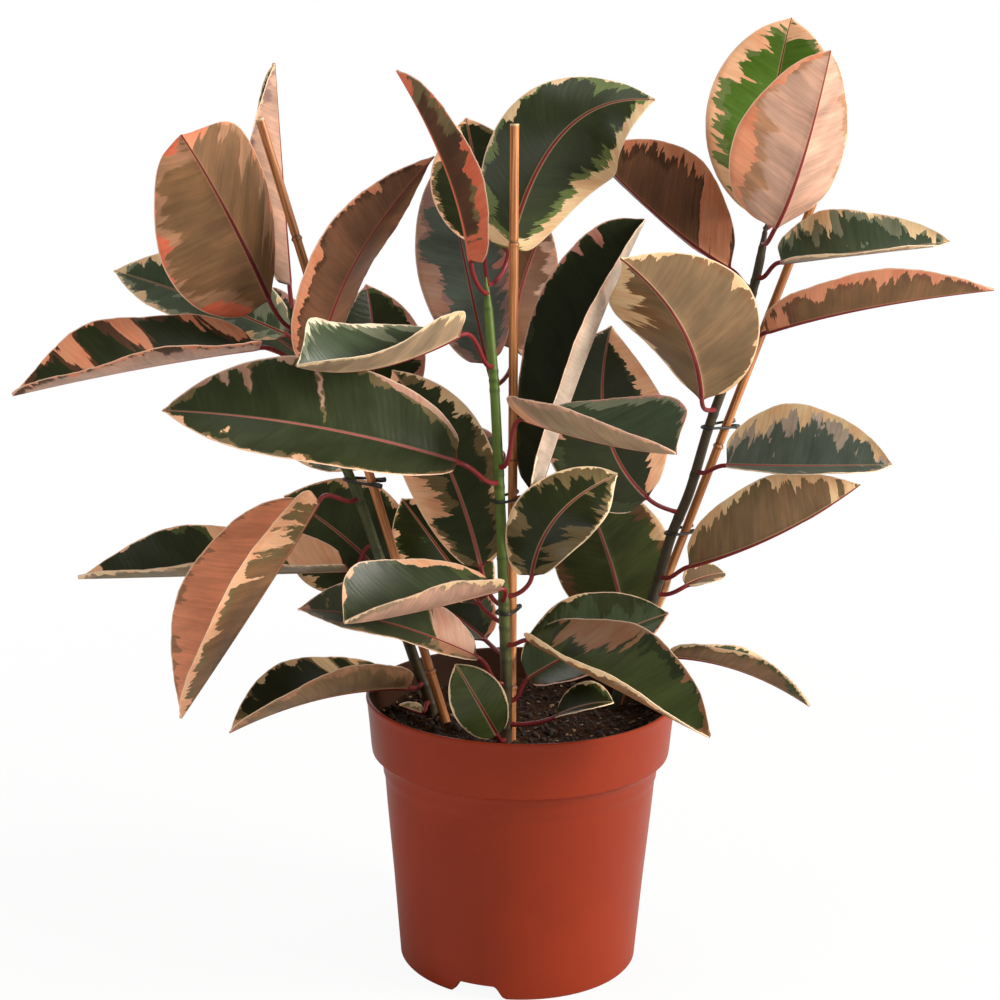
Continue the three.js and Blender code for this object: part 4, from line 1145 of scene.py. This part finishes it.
def leaf_line(stem, leaf):
    """The line of a leaf from its stalk's foot to its tip: its points, its direction and the way its upper
    face looks there, and how far along the blade they lie, as a share and in millimetres.

    The midrib is drawn toward one inner point, so that it goes through the leaf's middle, and the stalk
    toward two, so that it leaves the stem square to it and meets the midrib in line."""
    base, middle, tip = (np.array(point, float) for point in (leaf.base, leaf.middle, leaf.tip))
    control = 2 * middle - (base + tip) / 2
    point, heading, radius = stem_at(stem, leaf.node)
    out = base - point
    out = unit(out - heading * (out @ heading))
    foot = point + out * (radius - STALK_SUNK)
    bend = STALK_BEND * np.linalg.norm(base - foot)
    u = np.linspace(0, 1, STALK_STATIONS, endpoint=False)[:, None]
    inner = foot + out * bend, base - unit(control - base) * bend
    stalk, stalk_along = drawn_curve((foot, *inner, base), u)
    v = np.linspace(0, 1, BLADE_STATIONS)
    t = (0.3 * v + 0.35 * (1 - np.cos(np.pi * v)))[:, None]
    midrib, midrib_along = drawn_curve((base, control, tip), t)

    centre, along = np.vstack([stalk, midrib]), np.vstack([stalk_along, midrib_along])
    t = np.vstack([np.zeros_like(u), t])
    face = np.array(leaf.face, float)
    normal = blend(face, np.array(leaf.turned or leaf.face, float), t)
    normal = unit(normal - along * np.sum(normal * along, axis=1, keepdims=True))
    way = travelled(centre)[:, None]
    return centre, along, normal, t, way - way[STALK_STATIONS]


def leaf_rings(stem, leaf):
    """Every point of a leaf, ring by ring from its stalk's foot to its tip, and where each point lies on it.

    Across the blade, each half rises at its fold angle and turns on by its curl, like an arc. The under face
    lies one thickness below the upper one and has a rib along its middle that thins toward the tip. The
    stalk's round rings turn into the blade's flat ones over its first thirtieth."""
    centre, along, normal, t, way = leaf_line(stem, leaf)
    side = np.cross(along, normal)
    rounding = np.maximum(t - (1 - TIP_ROUNDING), 0) / TIP_ROUNDING
    half = leaf.width * blade_share(t, leaf.blunt) * np.sqrt(np.clip(1 - rounding**2, 0.004, 1))
    half = np.maximum(half, MIN_HALF_WIDTH)

    step = np.arange(-ACROSS, ACROSS + 1) / ACROSS
    s = np.sign(step) * np.abs(step) ** 1.5
    s = np.concatenate([s, [1.0], s[::-1], [-1.0]])
    lower = np.repeat([-1, 0, 1, 0], [len(step), 1, len(step), 1])
    r, sign = np.abs(s), np.sign(s)
    fold, curl = np.radians(leaf.fold), np.radians(leaf.curl) + 1e-4
    tilt = fold + curl * r
    shift = half * sign * (np.sin(tilt) - np.sin(fold)) / curl
    lift = half * (np.cos(fold) - np.cos(tilt)) / curl
    tilt = tilt * sign
    wave = leaf.wave * r**2 * np.sin(4 * np.pi * t + np.where(s > 0, 0, 2))
    wave = wave + 0.35 * r**3 * ripple(way / 3.2 + 3 * sign, leaf.node % 17)
    distance = half * s
    rib = (RIB_DEPTH * (1 - t) ** 0.8 + 0.1) * bell(distance / RIB_HALF_WIDTH)
    groove = GROOVE_DEPTH * (1 - t) * bell(distance / GROOVE_HALF_WIDTH)
    thick = BLADE_THICKNESS / 2 * (1 - 0.55 * r**4)
    depth = np.where(lower > 0, -thick - rib, np.where(lower < 0, thick - groove, 0.0))
    edge = np.where(lower == 0, EDGE_BULGE, 0.0) * sign
    sideways = shift + edge - depth * np.sin(tilt)
    forward = shift * leaf.slant * (1 - t**6)
    upward = lift + wave + depth * np.cos(tilt)
    blade = (centre[:, None] + side[:, None] * sideways[..., None] + along[:, None] * forward[..., None]
             + normal[:, None] * upward[..., None])

    angle = np.pi * (1 - (np.arange(len(s)) + 1) / (len(s) / 2))
    swell = np.where(way < 0, STALK_RADIUS * (1 + 0.25 * bell((1 - way / way[0]) / 0.08)), STALK_RADIUS)
    stalk = (centre[:, None] + side[:, None] * (swell * np.cos(angle))[..., None]
             + normal[:, None] * (swell * np.sin(angle))[..., None])
    flat = smooth_step(0, 0.03, t) * (way > 0)
    keys = ("t", "s", "x", "y", "half", "under", "flat")
    values = np.broadcast_arrays(t, s, distance, way, half, lower > 0, flat)
    return blend(stalk, blade, flat[..., None]), dict(zip(keys, values))


def in_turn(value):
    """A look's value on the left and on the right half."""
    return value if isinstance(value, tuple) else (value, value)


def leaf_fields(place, looks, seed):
    """The fields that the leaf's finish reads, one value for each point: its place along a side vein, how far
    it lies inside the margin's pale zone, and the tones of that zone, of the two greens and of the midrib."""
    t, s, x, y, half, under, flat = place.values()
    vein = y - VEIN_SLOPE * np.abs(x)
    along = vein / y.max()
    right = smooth_step(-0.25, 0.25, s)
    border = (1 - np.abs(s)) * half
    tones = ("core", "patch", "rim", "rib")
    faces = []
    for look in looks:
        left_wide, right_wide = in_turn(look.wide)
        gap = border - blend(left_wide, right_wide, right)
        for where, across, length, breadth in look.splash:
            off = ((along - where) / length) ** 2 + ((s - across) / breadth) ** 2
            gap = np.minimum(gap, SPOT_DEPTH * (np.minimum(off, 9) - 1))
        left_rim, right_rim = (linear(TONES[tone]) for tone in in_turn(look.rim))
        face = {key: linear(TONES[getattr(look, key)]) for key in ("core", "patch", "rib")}
        face["rim"] = blend(left_rim, right_rim, right[..., None])
        faces.append({**face, "gap": gap, "patchy": look.patchy, "jag": look.jag})
    upper, lower = faces
    fields = {}
    for key in upper:
        share = under[..., None] if key in tones else under
        fields[key] = blend(upper[key], lower[key], share)
    fields["border"] = border
    for key in ("gap", "border"):
        fields[key] = blend(FAR_INSIDE, fields[key], flat)
    for key in tones:
        fields[key] = blend(linear(TONES["crimson"]), fields[key], flat[..., None])
    fields["vein"] = np.stack([x, vein, np.full_like(x, seed * 7.31)], axis=-1)
    fields["rib_gap"] = np.abs(x) - (0.3 + 0.8 * (1 - t))
    fields["under"] = under
    return fields


def leaf_piece(name, finish):
    """One leaf with its stalk, in place of the model's plain one."""
    stem, number = name.split("_")[1:]
    upper, under = (LOOKS.get(name, []) + [{}, {}])[:2]
    looks = PLAIN_UPPER._replace(**upper), PLAIN_UNDER._replace(**under)
    points, place = leaf_rings(stem, LEAVES[name])
    fields = leaf_fields(place, looks, int(number) + LEAF_SEEDS[stem])
    uv = np.stack([0.5 + 0.5 * place["s"], place["y"] / UV_LENGTH + UV_START], axis=-1)
    new_piece(name.replace("leaf", "blade"), points, finish, [name], fields=fields, uv=uv)


def build_camera():
    """The camera: its forward direction from pitch and yaw, then turned about it by the roll."""
    pitch, yaw, roll = (np.radians(a) for a in (CAMERA_PITCH, CAMERA_YAW, CAMERA_ROLL))
    forward = np.array([np.sin(yaw) * np.cos(pitch), np.cos(yaw) * np.cos(pitch), -np.sin(pitch)])
    right = np.array([np.cos(yaw), -np.sin(yaw), 0.0])
    up = np.cross(right, forward)
    right, up = np.cos(roll) * right + np.sin(roll) * up, np.cos(roll) * up - np.sin(roll) * right
    data = bpy.data.cameras.new("Camera")
    data.lens = CAMERA_LENS
    data.sensor_width = SENSOR_WIDTH
    camera = linked("Camera", data)
    place = np.array([0, -CAMERA_BACK, CAMERA_HEIGHT]) * MM + AXIS
    turn = Matrix((right, up, -forward)).transposed().to_4x4()
    camera.matrix_world = Matrix.Translation(Vector(place)) @ turn
    bpy.context.scene.camera = camera


def soft_box(name, place, aim_height, size, power, tone=(1.0, 1.0, 1.0)):
    """A soft square light at a place in metres that looks at the plant's axis at a height."""
    data = bpy.data.lights.new(name, "AREA")
    data.shape = "RECTANGLE"
    data.size = data.size_y = size
    data.energy = power
    data.color = tone
    lamp = linked(name, data)
    lamp.location = Vector(place)
    lamp.rotation_mode = "QUATERNION"
    lamp.rotation_quaternion = (Vector((0, 0, aim_height)) - Vector(place)).to_track_quat("-Z", "Y")


def camera_sees(tree, share, shader, seen, output):
    """Lets the camera see another light than the one that a surface or the sky gives, by that share."""
    rays = add(tree, "ShaderNodeLightPath").outputs["Is Camera Ray"]
    share = calc(tree, "MULTIPLY", rays, share)
    blended = add(tree, "ShaderNodeMixShader", {0: share, 1: shader.outputs[0], 2: seen.outputs[0]})
    tree.links.new(blended.outputs[0], tree.nodes[output].inputs["Surface"])


def build_floor(settings):
    """A plain pale floor, which the camera sees nearly white, and white farther off."""
    reach = FLOOR_REACH
    corners = [(-reach, -reach, 0), (reach, -reach, 0), (reach, reach, 0), (-reach, reach, 0)]
    floor = linked("floor", new_mesh("floor", corners, [(0, 1, 2, 3)]))
    material, tree, shader = new_material("Pale floor")
    fill(tree, shader, {"Base Color": (0.8, 0.8, 0.8, 1.0), "Roughness": 0.9, "Specular IOR Level": 0.0})
    away = vector_calc(tree, "LENGTH", own_place(tree), output="Value")
    seen = add(tree, "ShaderNodeEmission", {"Strength": 1.0})
    camera_sees(tree, ramped(tree, away, *FADE_REACH, settings.floor_white, 1.0), shader, seen,
                "Material Output")
    floor.data.materials.append(material)


def build_stage(settings):
    """The floor, an even pale sky that the camera sees white, one large soft light from the right and weak
    ones from the left, the back and above."""
    build_floor(settings)
    scene = bpy.context.scene
    scene.world = bpy.data.worlds.new("Studio")
    scene.world.use_nodes = True
    tree = scene.world.node_tree
    sky = tree.nodes["Background"]
    fill(tree, sky, {"Color": (1.0, 0.93, 0.83, 1.0), "Strength": settings.sky})
    white = add(tree, "ShaderNodeBackground", {"Color": (1.0, 1.0, 1.0, 1.0), "Strength": 1.0})
    camera_sees(tree, 1.0, sky, white, "World Output")
    soft_box("Key light", (2.3, -0.7, 1.3), 0.35, 1.1, settings.key_power, (1.0, 0.96, 0.9))
    soft_box("Fill light", (-2.1, -1.0, 1.3), 0.4, 1.3, settings.fill_power)
    soft_box("Top light", (0.2, 0.2, 2.1), 0.35, 1.2, settings.top_power)
    soft_box("Back light", (-0.7, 2.2, 1.3), 0.35, 1.3, settings.back_power)
    scene.view_settings.view_transform = "Standard"
    scene.view_settings.look = "None"


class PotSettings(bpy.types.PropertyGroup):
    """The pot's finish."""

    tone: FloatVectorProperty(name="Tone", description="The plastic's tone on a screen",
                              subtype="COLOR_GAMMA", size=3, min=0, max=1, default=(0.53, 0.175, 0.075))
    roughness: FloatProperty(name="Roughness", description="How dull the plastic is", min=0, max=1,
                             default=0.42)


class SoilSettings(bpy.types.PropertyGroup):
    """The soil's tone and crumbs."""

    tone: FloatVectorProperty(name="Tone", description="The peat's tone on a screen", subtype="COLOR_GAMMA",
                              size=3, min=0, max=1, default=(0.17, 0.1, 0.055))
    crumbs: IntProperty(name="Crumbs", description="How many loose crumbs lie on the soil", min=0, max=3000,
                        default=1100)
    seed: IntProperty(name="Seed", description="Changes the lumps and crumbs", min=0, default=5)


class ShootSettings(bpy.types.PropertyGroup):
    """The finish of canes and ties."""

    cane_roughness: FloatProperty(name="Cane roughness", description="How dull the bamboo is", min=0, max=1,
                                  default=0.45)
    tie_tone: FloatVectorProperty(name="Tie tone", description="The ties' tone on a screen",
                                  subtype="COLOR_GAMMA", size=3, min=0, max=1, default=(0.09, 0.11, 0.11))


class LeafSettings(bpy.types.PropertyGroup):
    """The leaves' finish."""

    vein_spacing: FloatProperty(name="Vein spacing", description="Millimetres between two side veins", min=1,
                                max=20, default=4.2)
    upper_roughness: FloatProperty(name="Upper roughness", description="How dull the upper face is", min=0,
                                   max=1, default=0.34)
    under_roughness: FloatProperty(name="Under roughness", description="How dull the under face is", min=0,
                                   max=1, default=0.52)


class StageSettings(bpy.types.PropertyGroup):
    """The light of the studio."""

    sky: FloatProperty(name="Sky", description="How bright the even sky is", min=0, default=0.28)
    floor_white: FloatProperty(name="Floor white", description="How white the camera sees the floor",
                               min=0, max=1, default=0.93)
    key_power: FloatProperty(name="Key light", description="The right light in watts", min=0, default=94)
    fill_power: FloatProperty(name="Fill light", description="The left light in watts", min=0, default=17)
    top_power: FloatProperty(name="Top light", description="The light over the plant in watts", min=0,
                             default=10)
    back_power: FloatProperty(name="Back light", description="The light behind the plant in watts",
                              min=0, default=14)


class PlantSettings(bpy.types.PropertyGroup):
    """Everything that a user would change on the plant."""

    pot: PointerProperty(type=PotSettings)
    soil: PointerProperty(type=SoilSettings)
    shoots: PointerProperty(type=ShootSettings)
    leaves: PointerProperty(type=LeafSettings)
    stage: PointerProperty(type=StageSettings)


class RUBBERPLANT_OT_stage(bpy.types.Operator):
    """Builds the camera, the floor and the lights"""

    bl_idname = "rubberplant.stage"
    bl_label = "Build stage"

    def execute(self, context):
        build_camera()
        build_stage(context.scene.rubber_plant.stage)
        return {"FINISHED"}


class RUBBERPLANT_OT_pot(bpy.types.Operator):
    """Builds the pot"""

    bl_idname = "rubberplant.pot"
    bl_label = "Build pot"

    def execute(self, context):
        pot_piece(context.scene.rubber_plant.pot)
        return {"FINISHED"}


class RUBBERPLANT_OT_soil(bpy.types.Operator):
    """Builds the soil and its crumbs"""

    bl_idname = "rubberplant.soil"
    bl_label = "Build soil"

    def execute(self, context):
        settings = context.scene.rubber_plant.soil
        soil_piece(settings)
        crumb_piece(settings)
        return {"FINISHED"}


class RUBBERPLANT_OT_stems(bpy.types.Operator):
    """Builds the three stems"""

    bl_idname = "rubberplant.stems"
    bl_label = "Build stems"

    def execute(self, context):
        finish = simple_finish("Green stem", "tone", 0.5, 220, 0.5, 0.4, 0.0003)
        for name in STEMS:
            stem_piece(name, finish)
        return {"FINISHED"}


class RUBBERPLANT_OT_canes(bpy.types.Operator):
    """Builds the three bamboo canes"""

    bl_idname = "rubberplant.canes"
    bl_label = "Build canes"

    def execute(self, context):
        finish = bamboo_finish(context.scene.rubber_plant.shoots)
        for name in CANES:
            cane_piece(name, finish)
        return {"FINISHED"}


class RUBBERPLANT_OT_ties(bpy.types.Operator):
    """Builds the ties"""

    bl_idname = "rubberplant.ties"
    bl_label = "Build ties"

    def execute(self, context):
        tone = chosen(context.scene.rubber_plant.shoots.tie_tone)
        finish = simple_finish("Soft black plastic", tone, 0.42, 300, 0.3)
        for name in TIES:
            tie_piece(name, finish)
        return {"FINISHED"}


class RUBBERPLANT_OT_leaves(bpy.types.Operator):
    """Builds every leaf"""

    bl_idname = "rubberplant.leaves"
    bl_label = "Build leaves"

    def execute(self, context):
        finish = leaf_finish(context.scene.rubber_plant.leaves)
        for name in LEAVES:
            leaf_piece(name, finish)
        return {"FINISHED"}


STEPS = (RUBBERPLANT_OT_stage, RUBBERPLANT_OT_pot, RUBBERPLANT_OT_soil, RUBBERPLANT_OT_stems,
         RUBBERPLANT_OT_canes, RUBBERPLANT_OT_ties, RUBBERPLANT_OT_leaves)


class RUBBERPLANT_PT_panel(bpy.types.Panel):
    """The plant's steps and settings"""

    bl_idname = "RUBBERPLANT_PT_panel"
    bl_label = "Rubber plant"
    bl_space_type = "VIEW_3D"
    bl_region_type = "UI"
    bl_category = "Rubber plant"

    def draw(self, context):
        for step in STEPS:
            self.layout.operator(step.bl_idname)
        plant = context.scene.rubber_plant
        for group in (plant.pot, plant.soil, plant.shoots, plant.leaves, plant.stage):
            box = self.layout.box()
            for key in group.bl_rna.properties.keys():
                if key not in ("name", "rna_type"):
                    box.prop(group, key)


CLASSES = (PotSettings, SoilSettings, ShootSettings, LeafSettings, StageSettings, PlantSettings, *STEPS,
           RUBBERPLANT_PT_panel)


def register():
    """Registers the classes and the plant's settings on the scene."""
    for item in CLASSES:
        bpy.utils.register_class(item)
    bpy.types.Scene.rubber_plant = PointerProperty(type=PlantSettings)


def unregister():
    """Takes the classes and the settings away again."""
    del bpy.types.Scene.rubber_plant
    for item in reversed(CLASSES):
        bpy.utils.unregister_class(item)


def main():
    """Builds the stage and every piece."""
    register()
    bpy.ops.rubberplant.stage()
    bpy.ops.rubberplant.pot()
    bpy.ops.rubberplant.soil()
    bpy.ops.rubberplant.stems()
    bpy.ops.rubberplant.canes()
    bpy.ops.rubberplant.ties()
    bpy.ops.rubberplant.leaves()


if __name__ == "__main__":
    main()
